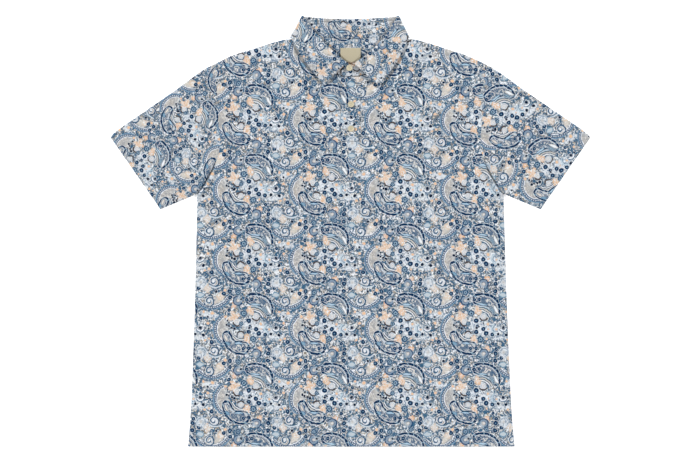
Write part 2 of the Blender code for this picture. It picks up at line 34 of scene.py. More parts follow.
# ---------------------------------------------------------------- sizes, as in the part's source
CLOTH = 1.2
SEAM_GAP = 0.3
LAYER = CLOTH + SEAM_GAP
FLOOR_LAYER = CLOTH / 2
HEM_Y = -393.5
ARMPIT_Y = 68.0
NECK_X, NECK_Y = 88.0, 359.0
FRONT_NECK_Y, BACK_NECK_Y = 282.0, 351.0
BODY_LOFT, BODY_WAVE, LOFT_EDGE, HEM_LOFT = 2.3, 0.5, 70.0, 0.5
SLIT_HALF, SLIT_END_Y = 17.5, 172.0
PLACKET_END_Y, PLACKET_EDGE_X, PLACKET_SEAM_X = 163.0, -17.8, 18.6
UNDER_PLACKET_FREE_X = 12.0
PLACKET_RISE = LAYER + 0.25
SLEEVE_FOLD_R, SLEEVE_LOFT, SLEEVE_TIP_SHARE = 1.3, 2.0, 0.9925
COLLAR_DIP, LEAF_BACK_Y, LEAF_INNER = 4.6, 340.0, 5.0
ROLL_R, STAND_FOLD_R, FRONT_ROLL_R = 0.85, 1.2, 1.9
LEAF_FOLD_R = STAND_FOLD_R + 2 * ROLL_R
FRONT_RISE, FRONT_OVERLAP_RISE = 5.2, LAYER + 0.15
STAND_OFFSET = 0.8
LEAF_LIFT, LEAF_BULGE = 1.0, 1.6
SEAM_END_SHARE = 0.07
RAMP, RAMP_CLEAR = 30.0, 20.0
BUTTON_R, BUTTON_WALL, BUTTON_GAP = 5.75, 2.4, 0.3

SIDE_SEAM = [(-393.5, 298.2), (-383.0, 297.0), (-328.0, 292.8), (-274.0, 290.1), (-100.0, 283.8),
             (68.0, 279.4)]
HEM_LEAN = 1.6
ARMHOLE = [(279.4, 68.0), (267.0, 85.0), (252.0, 112.0), (241.6, 138.0), (238.0, 164.0), (240.5, 190.0),
           (243.2, 246.0), (248.0, 305.0)]
SHOULDER = {
    -1: [(88.0, 359.0), (102.0, 351.6), (112.0, 349.8), (121.0, 349.0), (150.5, 341.3), (173.5, 334.0),
         (197.0, 326.7), (219.0, 319.3), (248.0, 305.0)],
    1: [(88.0, 359.0), (100.0, 351.6), (110.0, 349.8), (119.0, 349.0), (148.5, 341.3), (170.5, 334.0),
        (194.0, 326.7), (215.0, 319.3), (246.0, 305.0)],
}
SLEEVE_TOP = {
    -1: [(248.0, 305.0), (270.0, 293.5), (319.3, 257.1), (372.4, 220.5), (425.5, 183.9), (438.2, 170.5)],
    1: [(246.0, 305.0), (266.5, 293.5), (317.0, 257.1), (370.5, 220.5), (423.8, 183.9), (438.2, 170.5)],
}
CUFF_CORNER = (347.0, 39.5)
COLLAR = {
    # side: crease_top, crease_end, roll_end, roll_bow, leaf_point, edge_bow
    -1: ((88.4, 393.5), (110.6, 353.2), (7.0, 307.0), 5.0, (48.4, 268.0), 4.0),
    1: ((88.4, 393.5), (108.2, 352.8), (7.0, 305.0), 8.0, (52.8, 263.2), 3.6),
}
STAND_ENDS = {
    -1: [(-1.5, 303.6), (4.5, 302.8), (10.0, 300.0), (14.5, 294.5)],
    1: [(-1.5, 302.6), (4.5, 302.0), (10.5, 299.4), (15.5, 294.0)],
}
BUTTONS = {"button_collar": (-2.0, 296.6), "button_1": (1.0, 231.0), "button_2": (1.0, 186.5)}
LABEL_HALF_WIDTH, LABEL_TOP_Y, LABEL_END_Y = 18.5, 334.0, 308.4
LABEL_WALL, LABEL_GAP, LABEL_BULGE, LABEL_DIP = 1.0, 0.15, 0.25, 0.35

# ---------------------------------------------------------------- looks
SHELL = 0.7            # cloth of body and sleeves as shown; the solids are thicker
HEM_R = 0.37           # middle radius of a turned-in edge
BODY_HEM, CUFF_HEM = 22.0, 20.0
CELL = 4.0             # width of a mesh cell on a large panel
FINE = (0.25, 0.7, 1.4, 2.5, 4.5)   # distances from a sewn or cut edge that get points of their own
SEAM_DIP, SEAM_DIP_WIDTH = 0.9, 1.5           # how far sewn edges turn down, and over what width
PLACKET_DIP_WIDTH = 1.2
FLOOR_DIP = 0.5                               # share of it by which the layer on the surface turns up
HEM_STITCH, HEM_GROOVE_WIDTH = 2.0, 2.2       # stitches of a hem from its inner edge, and their groove
BODY_GROOVE, CUFF_GROOVE = 0.35, 0.3
HEM_RISE, HEM_RISE_LENGTH = 0.4, 60.0         # the front rises a little towards the hem
NECK_FADE = 10.0                              # sewn edges turn down only this far outside the neck
LEAF_SPRING = 1.1      # how far the points of the leaf spring up from where the solid lies
LEAF_PRESS, LEAF_PRESS_WIDTH = 2.0, 4.2       # how the leaf's edges press into the front
PLACKET_STITCH, LEAF_STITCH, STAND_STITCH, LABEL_STITCH = 3.2, 4.5, 2.2, 1.8     # from the edge

# soft folds: points along the fold, half width, height of its banks, depth of its middle
FOLDS = [
    # the folds that follow the lower armholes
    ([(-244.0, 134.0), (-252.6, 112.0), (-267.6, 85.0), (-280.0, 68.0), (-290.0, 50.0)], 4.2, 5.2, 1.4),
    ([(243.0, 134.0), (251.6, 112.0), (266.6, 85.0), (279.0, 68.0), (289.0, 50.0)], 4.2, 5.2, 1.4),
    ([(-230.0, 118.0), (-238.0, 100.0), (-252.0, 78.0)], 8.0, 0.9, 0.3),
    ([(229.0, 121.0), (238.0, 98.0), (249.0, 76.0)], 8.0, 0.9, 0.3),
    ([(-262.0, 150.0), (-272.0, 122.0), (-287.0, 98.0)], 9.0, 0.9, 0.3),
    ([(262.0, 152.0), (274.0, 124.0), (288.0, 99.0)], 9.0, 0.9, 0.3),
    # faint ones over the body and the sleeves
    ([(-215.0, 20.0), (-150.0, -30.0), (-95.0, -60.0)], 16.0, 0.5, 0.4),
    ([(205.0, 10.0), (150.0, -45.0), (80.0, -70.0)], 18.0, 0.5, 0.4),
    ([(-240.0, -170.0), (-170.0, -215.0), (-90.0, -235.0)], 20.0, 0.45, 0.4),
    ([(235.0, -200.0), (160.0, -240.0), (70.0, -250.0)], 19.0, 0.45, 0.4),
    ([(-60.0, 120.0), (-80.0, 40.0), (-70.0, -40.0)], 18.0, 0.4, 0.3),
    ([(62.0, 130.0), (85.0, 60.0), (88.0, -20.0)], 17.0, 0.4, 0.3),
    ([(-205.0, 268.0), (-160.0, 236.0), (-120.0, 222.0)], 15.0, 0.5, 0.4),
    ([(200.0, 266.0), (158.0, 240.0), (122.0, 220.0)], 15.0, 0.5, 0.4),
    ([(-262.0, 255.0), (-300.0, 205.0), (-322.0, 160.0)], 13.0, 0.5, 0.4),
    ([(262.0, 253.0), (304.0, 206.0), (330.0, 156.0)], 13.0, 0.5, 0.4),
    ([(-392.0, 176.0), (-372.0, 140.0), (-340.0, 100.0)], 12.0, 0.4, 0.3),
    ([(395.0, 178.0), (368.0, 136.0), (344.0, 104.0)], 12.0, 0.4, 0.3),
]


# ---------------------------------------------------------------- helpers for numbers
def smooth(value):
    """Ease from 0 to 1 as value goes from 0 to 1."""
    value = np.clip(value, 0.0, 1.0)
    return value * value * (3.0 - 2.0 * value)


def curve_at(points, share):
    """Points at shares of a Catmull-Rom curve that goes through all the points."""
    points = np.array(points, float)
    share = np.clip(np.asarray(share, float), 0.0, 1.0)
    chords = np.linalg.norm(np.diff(points, axis=0), axis=1)
    starts = np.concatenate([[0.0], np.cumsum(chords)])
    want = share * starts[-1]
    index = np.clip(np.searchsorted(starts, want, side="left") - 1, 0, len(chords) - 1)
    t = ((want - starts[index]) / chords[index])[..., None]
    padded = np.concatenate([[2 * points[0] - points[1]], points, [2 * points[-1] - points[-2]]])
    p0, p1, p2, p3 = padded[index], padded[index + 1], padded[index + 2], padded[index + 3]
    return 0.5 * (2 * p1 + (p2 - p0) * t + (2 * p0 - 5 * p1 + 4 * p2 - p3) * t ** 2
                  + (3 * p1 - p0 - 3 * p2 + p3) * t ** 3)


def bowed(start, end, bow, share):
    """Points on the arc-like curve from start to end that bows to the right by bow."""
    start, end = np.array(start, float), np.array(end, float)
    along = (end - start) / np.linalg.norm(end - start)
    right = np.array([along[1], -along[0]])
    share = np.asarray(share, float)[..., None]
    return start + (end - start) * share + right * bow * 4.0 * share * (1.0 - share)


def unit(vectors):
    return vectors / np.maximum(np.linalg.norm(vectors, axis=-1, keepdims=True), 1e-9)


def stations(length, cell=CELL, start=True, end=True):
    """Shares along a length, with fine steps at a sewn or cut end."""
    low = [d / length for d in FINE] if start else []
    high = [1.0 - d / length for d in reversed(FINE)] if end else []
    first = low[-1] if low else 0.0
    last = high[0] if high else 1.0
    count = max(int(round((last - first) * length / cell)), 1)
    middle = [first + (last - first) * i / count for i in range(1, count)]
    return np.array(sorted(set([0.0, 1.0] + low + middle + high)))


def from_line(x, y, points):
    """Distance from a curve, and the share along it of the nearest point."""
    line = curve_at(points, np.linspace(0, 1, 60))
    flat_x, flat_y = np.ravel(x), np.ravel(y)
    best = np.full(flat_x.shape, 1e9)
    where = np.zeros(flat_x.shape)
    for i, (px, py) in enumerate(line):
        far = np.hypot(flat_x - px, flat_y - py)
        nearer = far < best
        best = np.where(nearer, far, best)
        where = np.where(nearer, i / 59.0, where)
    return best.reshape(np.shape(x)), where.reshape(np.shape(x))


# ---------------------------------------------------------------- heights of the layers
def collar_ramp(x, y):
    """1 over the back collar, 0 clear of it."""
    reach = np.where(x < 0, COLLAR[-1][1][0], COLLAR[1][1][0])
    end_y = np.where(x < 0, COLLAR[-1][1][1], COLLAR[1][1][1])
    edge_y = LEAF_BACK_Y + (end_y - LEAF_BACK_Y) * (x / reach) ** 2
    outside = np.maximum(np.maximum(edge_y - y, np.abs(x) - reach), 0.0)
    return 1.0 - smooth((outside - RAMP_CLEAR) / RAMP)


def back_height(x, y):
    """Middle of the back solid's wall."""
    return FLOOR_LAYER + 2 * ROLL_R * collar_ramp(x, y)


def body_loft(x, y):
    """How far the front panel rises above its resting place on the back panel."""
    side_y, side_x = zip(*SIDE_SEAM)
    hole_x, hole_y = zip(*ARMHOLE)
    half_width = np.where(y < ARMPIT_Y, np.interp(y, side_y, side_x), np.interp(y, hole_y, hole_x))
    top_x, top_y = zip(*SHOULDER[-1])
    shoulder_y = np.interp(np.abs(x), top_x, top_y)
    from_side = smooth((half_width - np.abs(x)) / LOFT_EDGE)
    from_top = smooth((shoulder_y - y) / LOFT_EDGE)
    from_hem = HEM_LOFT + (1.0 - HEM_LOFT) * smooth((y - HEM_Y) / LOFT_EDGE)
    wave = np.sin(x / 47.0 + y / 83.0) * np.cos(y / 61.0 - x / 150.0)     # as in the part's source
    return from_side * from_top * from_hem * (BODY_LOFT + BODY_WAVE * wave)


def front_height(x, y):
    """Middle of the front solid's wall."""
    x, y = np.asarray(x, float), np.asarray(y, float)
    neck_spread = (2 * STAND_FOLD_R - LAYER) * collar_ramp(x, y)
    return back_height(x, y) + LAYER + neck_spread + body_loft(x, y)


def fold_relief(x, y):
    """Extra height of the soft folds."""
    total = np.zeros(np.shape(x))
    for points, half, bank, depth in FOLDS:
        far, along = from_line(x, y, points)
        fade = smooth(along * 4.0) * smooth((1.0 - along) * 4.0)
        bed = np.exp(-(far / (0.45 * half)) ** 2)
        banks = np.exp(-((far - 1.25 * half) / (0.75 * half)) ** 2)
        total = total + fade * (bank * banks - depth * bed)
    return total


def leaf_press(x, y):
    """How deep the free edges of the leaf press into the front."""
    deepest = np.zeros(np.shape(x))
    for side in (-1, 1):
        _, crease_end, roll_end, _, leaf_point, edge_bow = COLLAR[side]
        outer = bowed(crease_end, leaf_point, -edge_bow, np.linspace(0.06, 1, 8))
        inner = bowed(leaf_point, roll_end, 0.0, np.linspace(0, 1, 4))
        for line in (outer, inner):
            far, _ = from_line(side * np.asarray(x), y, line)
            deepest = np.maximum(deepest, np.exp(-(far / LEAF_PRESS_WIDTH) ** 2))
    return LEAF_PRESS * deepest


# ---------------------------------------------------------------- print placement
# Where the charted repeat lies on each piece: a place on the shirt, the chart point there,
# the clockwise turn in degrees and the scale.
CHART = 0.1144         # one chart unit
PLACES = {
    "body": ((-132.7, -90.6), (1040, 935), 0.0, 1.0),
    "placket": ((1.8, 213.2), (1016, 528), 0.0, 1.0),
    "sleeve_right": ((-344.6, 139.1), (756, 208), 50.0, 0.885),
    "sleeve_left": ((324.8, 157.7), (600, 8), -40.0, 0.99),
    "leaf_right": ((-60.0, 327.2), (1200, 256), 55.0, 0.9),
    "leaf_left": ((60.8, 323.9), (304, 232), -60.0, 0.95),
    "inside": ((-0.5, 366.4), (576, 799), 0.0, 0.85),
}


def print_at(place, x, y):
    """Print coordinates in millimetres for points of a piece."""
    (x0, y0), (chart_x, chart_y), turn, scale = PLACES[place]
    angle = math.radians(turn)
    across, down = np.asarray(x) - x0, y0 - np.asarray(y)
    right = (across * math.cos(angle) + down * math.sin(angle)) / scale
    below = (-across * math.sin(angle) + down * math.cos(angle)) / scale
    return np.stack([chart_x * CHART + right, -(chart_y * CHART + below)], axis=-1)


# ---------------------------------------------------------------- meshes
def add_object(name, vertices, faces, look):
    """Smooth mesh that rides on the shirt, with its material."""
    mesh = bpy.data.meshes.new(name)
    mesh.from_pydata((np.asarray(vertices) * MM).tolist(), [], faces)
    mesh.update()
    mesh.shade_smooth()
    obj = bpy.data.objects.new(name, mesh)
    bpy.context.scene.collection.objects.link(obj)
    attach(obj, "root")
    mesh.materials.append(bpy.data.materials[look])
    return obj


def add_grid(name, points, prints, stitches, flip=False, keep=None, others=(), wall=SHELL,
             look="printed_cloth"):
    """Cloth from rows of points, with its print and stitch coordinates, in place of its solid.

    keep tells which cells have cloth; others are print coordinates for the cells that a mask marks.
    """
    rows, columns = points.shape[:2]
    index = np.arange(rows * columns).reshape(rows, columns)
    quads = np.stack([index[:-1, :-1], index[:-1, 1:], index[1:, 1:], index[1:, :-1]], axis=-1)
    if flip:
        quads = quads[..., ::-1]
    if keep is None:
        keep = np.ones(quads.shape[:2], bool)
    quads = quads[keep]
    used, quads = np.unique(quads, return_inverse=True)
    quads = quads.reshape(-1, 4)
    obj = add_object(name + "_cloth", points.reshape(-1, 3)[used], quads.tolist(), look)
    corners = used[quads.ravel()]
    chart = prints.reshape(-1, 2)[corners]
    for mask, more in others:
        chart = np.where(np.repeat(mask[keep], 4)[:, None], more.reshape(-1, 2)[corners], chart)
    for layer, values in (("cloth", chart), ("stitch", stitches.reshape(-1, 2)[corners])):
        uv = obj.data.uv_layers.new(name=layer)
        uv.data.foreach_set("uv", (values * MM).astype(np.float32).ravel())
    shell = obj.modifiers.new("wall", "SOLIDIFY")
    shell.thickness = wall * MM
    shell.offset = 0.0
    shell.use_even_offset = True
    shell.use_quality_normals = True
    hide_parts(name)


def row_lengths(points):
    """Distance along each column from the first row."""
    steps = np.linalg.norm(np.diff(points, axis=0), axis=-1)
    return np.concatenate([np.zeros((1, points.shape[1])), np.cumsum(steps, axis=0)])


def along_rows(points):
    """Distance along each row from its first point."""
    return row_lengths(points.swapaxes(0, 1)).T


def turned_in(points, inside, depth):
    """Rows that fold the last row's edge over and back inside; inside is +1 or -1 along the normal.

    Returns the rows, the outer ones shortened to make room for the fold, and for each point its
    distance from the folded edge along the cloth.
    """
    walked = row_lengths(points)
    length = walked[-1] - walked
    outward = unit(points[-1] - points[-4])
    across = np.gradient(points[-1], axis=0)
    normal = unit(np.cross(across, outward)) * inside
    room = HEM_R + SHELL / 2
    start = points[-1] - outward * room
    rows = [row for row, left in zip(points, length) if left.min() > room + 0.1]
    from_edge = [left for left in length if left.min() > room + 0.1]
    rows.append(start)
    from_edge.append(np.full(points.shape[1], room))
    for degrees in (-60, -30, 0, 30, 60, 90):
        angle = math.radians(degrees)
        turn = outward * math.cos(angle) + normal * (1.0 + math.sin(angle))
        rows.append(start + turn * HEM_R)
        from_edge.append(np.full(points.shape[1], 0.0))
    column = np.arange(points.shape[1])
    for back in (3.0, 7.0, 12.0, depth - HEM_STITCH, depth):
        steps = np.arange(len(points))[::-1]
        share = np.array([np.interp(back, length[::-1, j], steps) for j in column])
        low = np.floor(share).astype(int)
        high = np.minimum(low + 1, len(points) - 1)
        part = (share - low)[:, None]
        rows.append(points[low, column] * (1 - part) + points[high, column] * part + normal * 2 * HEM_R)
        from_edge.append(np.full(points.shape[1], back))
    return np.array(rows), np.array(from_edge)


def hem_stitches(points, from_edge, depth):
    """Stitch coordinates: along the edge, and out from the line that holds a turned-in edge."""
    return np.stack([along_rows(points), from_edge - (depth - HEM_STITCH)], axis=-1)


def seam_dip(far, depth=SEAM_DIP, width=SEAM_DIP_WIDTH):
    """Depth of a soft groove at a distance from its middle."""
    return depth * np.exp(-(far / width) ** 2)


# ---------------------------------------------------------------- outlines of the body
def side_seam(side, share):
    """Side seam from the hem to the armpit."""
    points = curve_at([(width, y) for y, width in SIDE_SEAM], share)
    lean = HEM_LEAN * (ARMPIT_Y - points[..., 1]) / (ARMPIT_Y - HEM_Y)
    return np.stack([side * points[..., 0] + lean, points[..., 1]], axis=-1)


def armhole(side, share):
    """Armhole seam from the armpit to the shoulder tip."""
    points = curve_at(ARMHOLE, share)
    x = points[..., 0] + (SHOULDER[side][-1][0] - ARMHOLE[-1][0]) * smooth(share)
    return np.stack([side * x, points[..., 1]], axis=-1)


def shoulder(side, share):
    """Shoulder seam from the neckline to the shoulder tip."""
    points = curve_at(SHOULDER[side], share)
    return points * [side, 1.0]


def front_neckline(side, share):
    """Front neckline: a quarter ellipse from the centre front to the shoulder."""
    angle = np.asarray(share, float) * math.pi / 2
    y = NECK_Y - (NECK_Y - FRONT_NECK_Y) * np.cos(angle)
    return np.stack([side * NECK_X * np.sin(angle), y], axis=-1)


def back_neckline(side, share):
    """Back neckline: a shallow curve from the centre back to the shoulder."""
    share = np.asarray(share, float)
    return np.stack([side * NECK_X * share, BACK_NECK_Y + (NECK_Y - BACK_NECK_Y) * share ** 2], axis=-1)


# ---------------------------------------------------------------- body panels
AT_ARMPIT, AT_NECK = 0.52, 0.36     # where the patch's sides change from one seam to the next
SHOULDER_CROWDING = 1.4             # how much closer the mesh's steps are at the neck
SIDE_LENGTH, ARMHOLE_LENGTH, NECK_LENGTH, SHOULDER_LENGTH = 462.0, 250.0, 100.0, 175.0


def patch(near, away, low, high, u, v):
    """Points between four curves, shaped so that near and away follow v, and low and high follow u."""
    blend = (1 - u) * near + u * away + (1 - v) * low + v * high
    (a, b), (c, d) = (side.reshape(-1, 2)[[0, -1]] for side in (near, away))
    return blend - ((1 - u) * (1 - v) * a + u * (1 - v) * c + (1 - u) * v * b + u * v * d)


def side_patch(side, neckline, neck_share, t, a, slit):
    """Points of one half of a body panel, and their distances from its outer and top edges."""
    corner = neckline(side, neck_share)
    turn_y = ARMPIT_Y + 8.0
    low_y = HEM_Y + (turn_y - HEM_Y) * t / AT_ARMPIT
    part = (t - AT_ARMPIT) / (1 - AT_ARMPIT)
    if slit:
        high_y = np.interp(part, [0, 0.5, 1], [turn_y, SLIT_END_Y, corner[1]])
    else:
        high_y = turn_y + (corner[1] - turn_y) * part
    inner = np.stack([np.full(t.shape, side * SLIT_HALF), np.where(t <= AT_ARMPIT, low_y, high_y)], axis=-1)
    outer = np.where((t <= AT_ARMPIT)[:, None], side_seam(side, t / AT_ARMPIT), armhole(side, part))
    bottom = inner[0] + (outer[0] - inner[0]) * a[:, None]
    along_neck = neckline(side, neck_share + (1 - neck_share) * np.minimum(a / AT_NECK, 1.0))
    along_shoulder = shoulder(side, np.maximum((a - AT_NECK) / (1 - AT_NECK), 0.0) ** SHOULDER_CROWDING)
    top = np.where((a <= AT_NECK)[:, None], along_neck, along_shoulder)
    points = patch(inner[:, None], outer[:, None], bottom[None], top[None],
                   a[None, :, None], t[:, None, None])
    from_outer = np.linalg.norm(points - points[:, -1:], axis=-1)
    return points, from_outer, np.linalg.norm(points - points[-1:], axis=-1)


def body_plan(neckline, neck_share, centre_y, slit, cell):
    """Flat points of a whole panel from the top row to the hem, and distances from its edges."""
    t = np.concatenate([AT_ARMPIT * stations(SIDE_LENGTH, cell, end=False),
                        AT_ARMPIT + (1 - AT_ARMPIT) * stations(ARMHOLE_LENGTH, cell, start=False)[1:]])
    a = np.concatenate([AT_NECK * stations(NECK_LENGTH, cell, start=slit, end=False),
                        AT_NECK + (1 - AT_NECK) * stations(SHOULDER_LENGTH, cell, start=False)[1:]])
    left, left_out, left_top = side_patch(-1, neckline, neck_share, t, a, slit)
    right, right_out, right_top = side_patch(1, neckline, neck_share, t, a, slit)
    x = np.linspace(-SLIT_HALF, SLIT_HALF, 11)[1:-1]
    edge_y = right[:, :1, 1]
    lift = (centre_y - edge_y[-1]) * smooth((edge_y - SLIT_END_Y) / (edge_y[-1] - SLIT_END_Y))
    strip_y = edge_y + lift * (1 - (x / SLIT_HALF) ** 2)
    strip = np.stack([np.broadcast_to(x, (len(t), len(x))), strip_y], axis=-1)
    far = np.full(strip.shape[:2], 200.0)
    plan = np.concatenate([left[:, ::-1], strip, right], axis=1)[::-1]
    from_side = np.concatenate([left_out[:, ::-1], far, right_out], axis=1)[::-1]
    strip_top = np.abs(strip[..., 1] - strip[-1:, :, 1])
    from_top = np.concatenate([left_top[:, ::-1], strip_top, right_top], axis=1)[::-1]
    return plan, from_side, from_top


def clear_of_neck(x):
    return smooth((np.abs(x) - NECK_X) / NECK_FADE)


def build_front():
    """Front panel with the cut-out under the placket and a turned-up hem."""
    neck_share = math.asin(SLIT_HALF / NECK_X) / (math.pi / 2)
    plan, from_side, from_top = body_plan(front_neckline, neck_share, FRONT_NECK_Y, True, CELL)
    x, y = plan[..., 0], plan[..., 1]
    z = front_height(x, y) + (CLOTH - SHELL) / 2 + fold_relief(x, y) - leaf_press(x, y)
    z += HEM_RISE * smooth((HEM_RISE_LENGTH - (y - HEM_Y)) / HEM_RISE_LENGTH)
    z -= seam_dip(from_side) + seam_dip(from_top) * clear_of_neck(x)
    z -= seam_dip(y - HEM_Y - BODY_HEM + HEM_STITCH, BODY_GROOVE, HEM_GROOVE_WIDTH)
    points, from_edge = turned_in(np.dstack([x, y, z]), 1, BODY_HEM)
    x, y = points[..., 0], points[..., 1]
    cell_x = (x[:-1, :-1] + x[1:, 1:]) / 2
    cell_y = np.maximum(y[:-1, :-1], y[1:, 1:])
    keep = (np.abs(cell_x) > SLIT_HALF) | (cell_y < SLIT_END_Y + 0.5)
    add_grid("front", points, print_at("body", x, y), hem_stitches(points, from_edge, BODY_HEM), keep=keep)


def build_back():
    """Back panel; it lies on the surface, and its hem is turned up inside."""
    plan, from_side, from_top = body_plan(back_neckline, SLIT_HALF / NECK_X, BACK_NECK_Y, False, 1.5 * CELL)
    x, y = plan[..., 0], plan[..., 1]
    z = SHELL / 2 + 2 * ROLL_R * collar_ramp(x, y)
    z += FLOOR_DIP * (seam_dip(from_side, 1.0) + seam_dip(from_top, 1.0) * clear_of_neck(x))
    points, from_edge = turned_in(np.dstack([x, y, z]), -1, BODY_HEM)
    prints = print_at("inside", points[..., 0], points[..., 1])
    add_grid("back", points, prints, hem_stitches(points, from_edge, BODY_HEM))


# ---------------------------------------------------------------- placket
def placket_grid(name, x_from, x_to, y_from, rise, dips):
    """Strip of the placket on the front panel; dips are the depths of its left, right and low edges."""
    y_to = FRONT_NECK_Y - SEAM_GAP - 0.2
    x = x_from + (x_to - x_from) * stations(x_to - x_from, 2.5)
    y = y_from + (y_to - y_from) * stations(y_to - y_from, 3.0)
    x, y = np.meshgrid(x, y)
    z = front_height(x, y) + rise - leaf_press(x, y)
    for far, depth in zip((x - x_from, x_to - x, y - y_from), dips):
        z = z - seam_dip(far, depth, PLACKET_DIP_WIDTH)
    from_stitch = np.minimum(np.minimum(x - x_from, x_to - x), y - y_from) - PLACKET_STITCH
    stitches = np.stack([x + y, from_stitch], axis=-1)
    add_grid(name, np.dstack([x, y, z]), print_at("placket", x, y), stitches, wall=CLOTH)


def build_plackets():
    placket_grid("placket_under", -SLIT_HALF + SEAM_GAP, UNDER_PLACKET_FREE_X, SLIT_END_Y + SEAM_GAP, 0.0,
                 (0.3, 0.2, 0.3))
    placket_grid("placket_upper", PLACKET_EDGE_X, PLACKET_SEAM_X, PLACKET_END_Y, PLACKET_RISE,
                 (0.45, 0.9, 0.8))


# ---------------------------------------------------------------- sleeves
SLEEVE_WIDTH, SLEEVE_LENGTH = 210.0, 250.0      # rough ones, for the mesh's steps
HOLE_GAP = 0.05                                 # between the armhole seam and the sleeve


def build_sleeve(name, side):
    """Sleeve as a flattened tube: under layer, fold along the top, upper layer, turned-in cuff."""
    w, q = stations(SLEEVE_WIDTH), stations(SLEEVE_LENGTH, end=False)

    def fold_radius(share):
        return ROLL_R + (SLEEVE_FOLD_R - ROLL_R) * smooth(share * 4.0)

    def outline_top(share):
        here = curve_at(SLEEVE_TOP[side], share)
        along = unit(curve_at(SLEEVE_TOP[side], share + 0.01) - curve_at(SLEEVE_TOP[side], share - 0.01))
        return here, np.stack([-along[..., 1], along[..., 0]], axis=-1)

    def armhole_edge(share):
        return armhole(side, np.asarray(share) * SLEEVE_TIP_SHARE) * [side, 1.0] + [HOLE_GAP, 0.0]

    def fold_centre(share):
        share = np.asarray(share, float)
        here, outward = outline_top(share)
        inset = (fold_radius(share) + CLOTH / 2)[..., None]
        start, start_outward = outline_top(np.array(0.0))
        start_centre = start - start_outward * (fold_radius(0.0) + CLOTH / 2)
        shift = (1 - smooth(share * 4))[..., None]
        return here - outward * inset + (armhole_edge(1.0) - start_centre) * shift

    corner = np.array(CUFF_CORNER)
    hole, cuff = armhole_edge(q), corner + (fold_centre(1.0) - corner) * q[:, None]
    under_start = np.array([ARMHOLE[0][0] + HOLE_GAP, ARMPIT_Y])
    low, high = under_start + (corner - under_start) * w[:, None], fold_centre(w)
    flat = patch(hole[None], cuff[None], low[:, None], high[:, None], w[:, None, None], q[None, :, None])
    ww, qq = np.meshgrid(w, q, indexing="ij")
    near_top = fold_radius(ww) * 2 - LAYER
    belly = SLEEVE_LOFT * smooth(ww * 3) * smooth(qq * 3) * smooth((1 - qq) * 3 + 0.25)
    loft = LAYER + near_top * smooth((qq - 0.6) / 0.4) + belly * (1 - 0.35 * smooth(ww))
    from_hole = np.linalg.norm(flat - flat[:1], axis=-1)
    from_under = np.linalg.norm(flat - flat[:, :1], axis=-1)
    dips = np.maximum(seam_dip(from_hole, 1.0), seam_dip(from_under, 1.0))
    dips *= smooth((from_under[0, -1] - from_under) / 8.0)
    low_z = np.full(loft.shape, SHELL / 2) + FLOOR_DIP * dips
    high_z = FLOOR_LAYER + loft + (CLOTH - SHELL) / 2 - SEAM_DIP * dips
    high_z += fold_relief(side * flat[..., 0], flat[..., 1]) * smooth((1 - qq) * 12)
    from_cuff = np.linalg.norm(flat - flat[-1:], axis=-1)
    high_z -= seam_dip(from_cuff - CUFF_HEM + HEM_STITCH, CUFF_GROOVE, HEM_GROOVE_WIDTH)
    _, outward = outline_top(w)
    radius = (high_z[:, -1] - low_z[:, -1]) / 2
    columns, unfolded = [], []
    axis = flat[:, -1]
    for j in range(len(q)):
        columns.append(np.column_stack([flat[:, j], low_z[:, j]]))
        gap = np.sum((axis - flat[:, j]) * outward, axis=1)
        unfolded.append(flat[:, j] + outward * (2 * gap + math.pi * radius)[:, None])
    for degrees in range(-75, 90, 15):
        angle = math.radians(degrees)
        place = axis + outward * (radius * math.cos(angle))[:, None]
        columns.append(np.column_stack([place, low_z[:, -1] + radius * (1 + math.sin(angle))]))
        unfolded.append(axis + outward * (radius * (math.pi / 2 - angle))[:, None])
    for j in range(len(q))[::-1]:
        columns.append(np.column_stack([flat[:, j], high_z[:, j]]))
        unfolded.append(flat[:, j])
    points = np.stack(columns, axis=1)
    unfolded = np.stack(unfolded, axis=1)
    turned, from_edge = turned_in(points, -1, CUFF_HEM)
    stitches = hem_stitches(turned, from_edge, CUFF_HEM)
    left = row_lengths(points)[-1] - row_lengths(points)
    kept = int(np.sum(left.min(axis=1) > HEM_R + SHELL / 2 + 0.1))
    chart_plan = np.concatenate([unfolded[:kept], np.repeat(unfolded[-1:], len(turned) - kept, axis=0)])
    turned = turned * [side, 1.0, 1.0]
    prints = print_at(name, side * chart_plan[..., 0], chart_plan[..., 1])
    add_grid(name, turned, prints, stitches, flip=side > 0)


# ---------------------------------------------------------------- collar
class Section:
    """Cross-section of the collar: seam, roll and free edge, and the way the roll turns."""

    def __init__(self, rim, towards_leaf, lip, radius, edge, seam, part):
        self.rim = np.array(rim, float)
        self.towards_leaf = np.array(towards_leaf, float)
        self.lip = np.array(lip, float)
        self.radius = radius
        self.edge = np.array(edge, float)
        self.seam = np.array(seam, float)
        self.part = part

    def stand_top(self):
        centre = self.rim - self.lip * self.radius
        return centre - self.towards_leaf * self.radius - self.lip * LEAF_INNER

    def roll_points(self, inner_steps, roll_steps):
        """The leaf from its inner seam over the roll to the start of its outer face."""
        centre = self.rim - self.lip * self.radius
        low, high = self.stand_top(), centre - self.towards_leaf * self.radius
        points = [low + (high - low) * i / inner_steps for i in range(inner_steps)]
        for i in range(roll_steps + 1):
            angle = -math.pi / 2 + math.pi * i / roll_steps
            outward = self.lip * math.cos(angle) + self.towards_leaf * math.sin(angle)
            points.append(centre + outward * self.radius)
        return points


def mirrored(vector, side):
    return np.array([side * vector[0], vector[1], vector[2]])


def crease_frame(side):
    """Unit vectors along the collar's side crease and outwards from it."""
    up = unit(np.array(COLLAR[side][0]) - np.array(COLLAR[side][1]))
    return np.array([up[0], up[1], 0.0]), np.array([up[1], -up[0], 0.0])


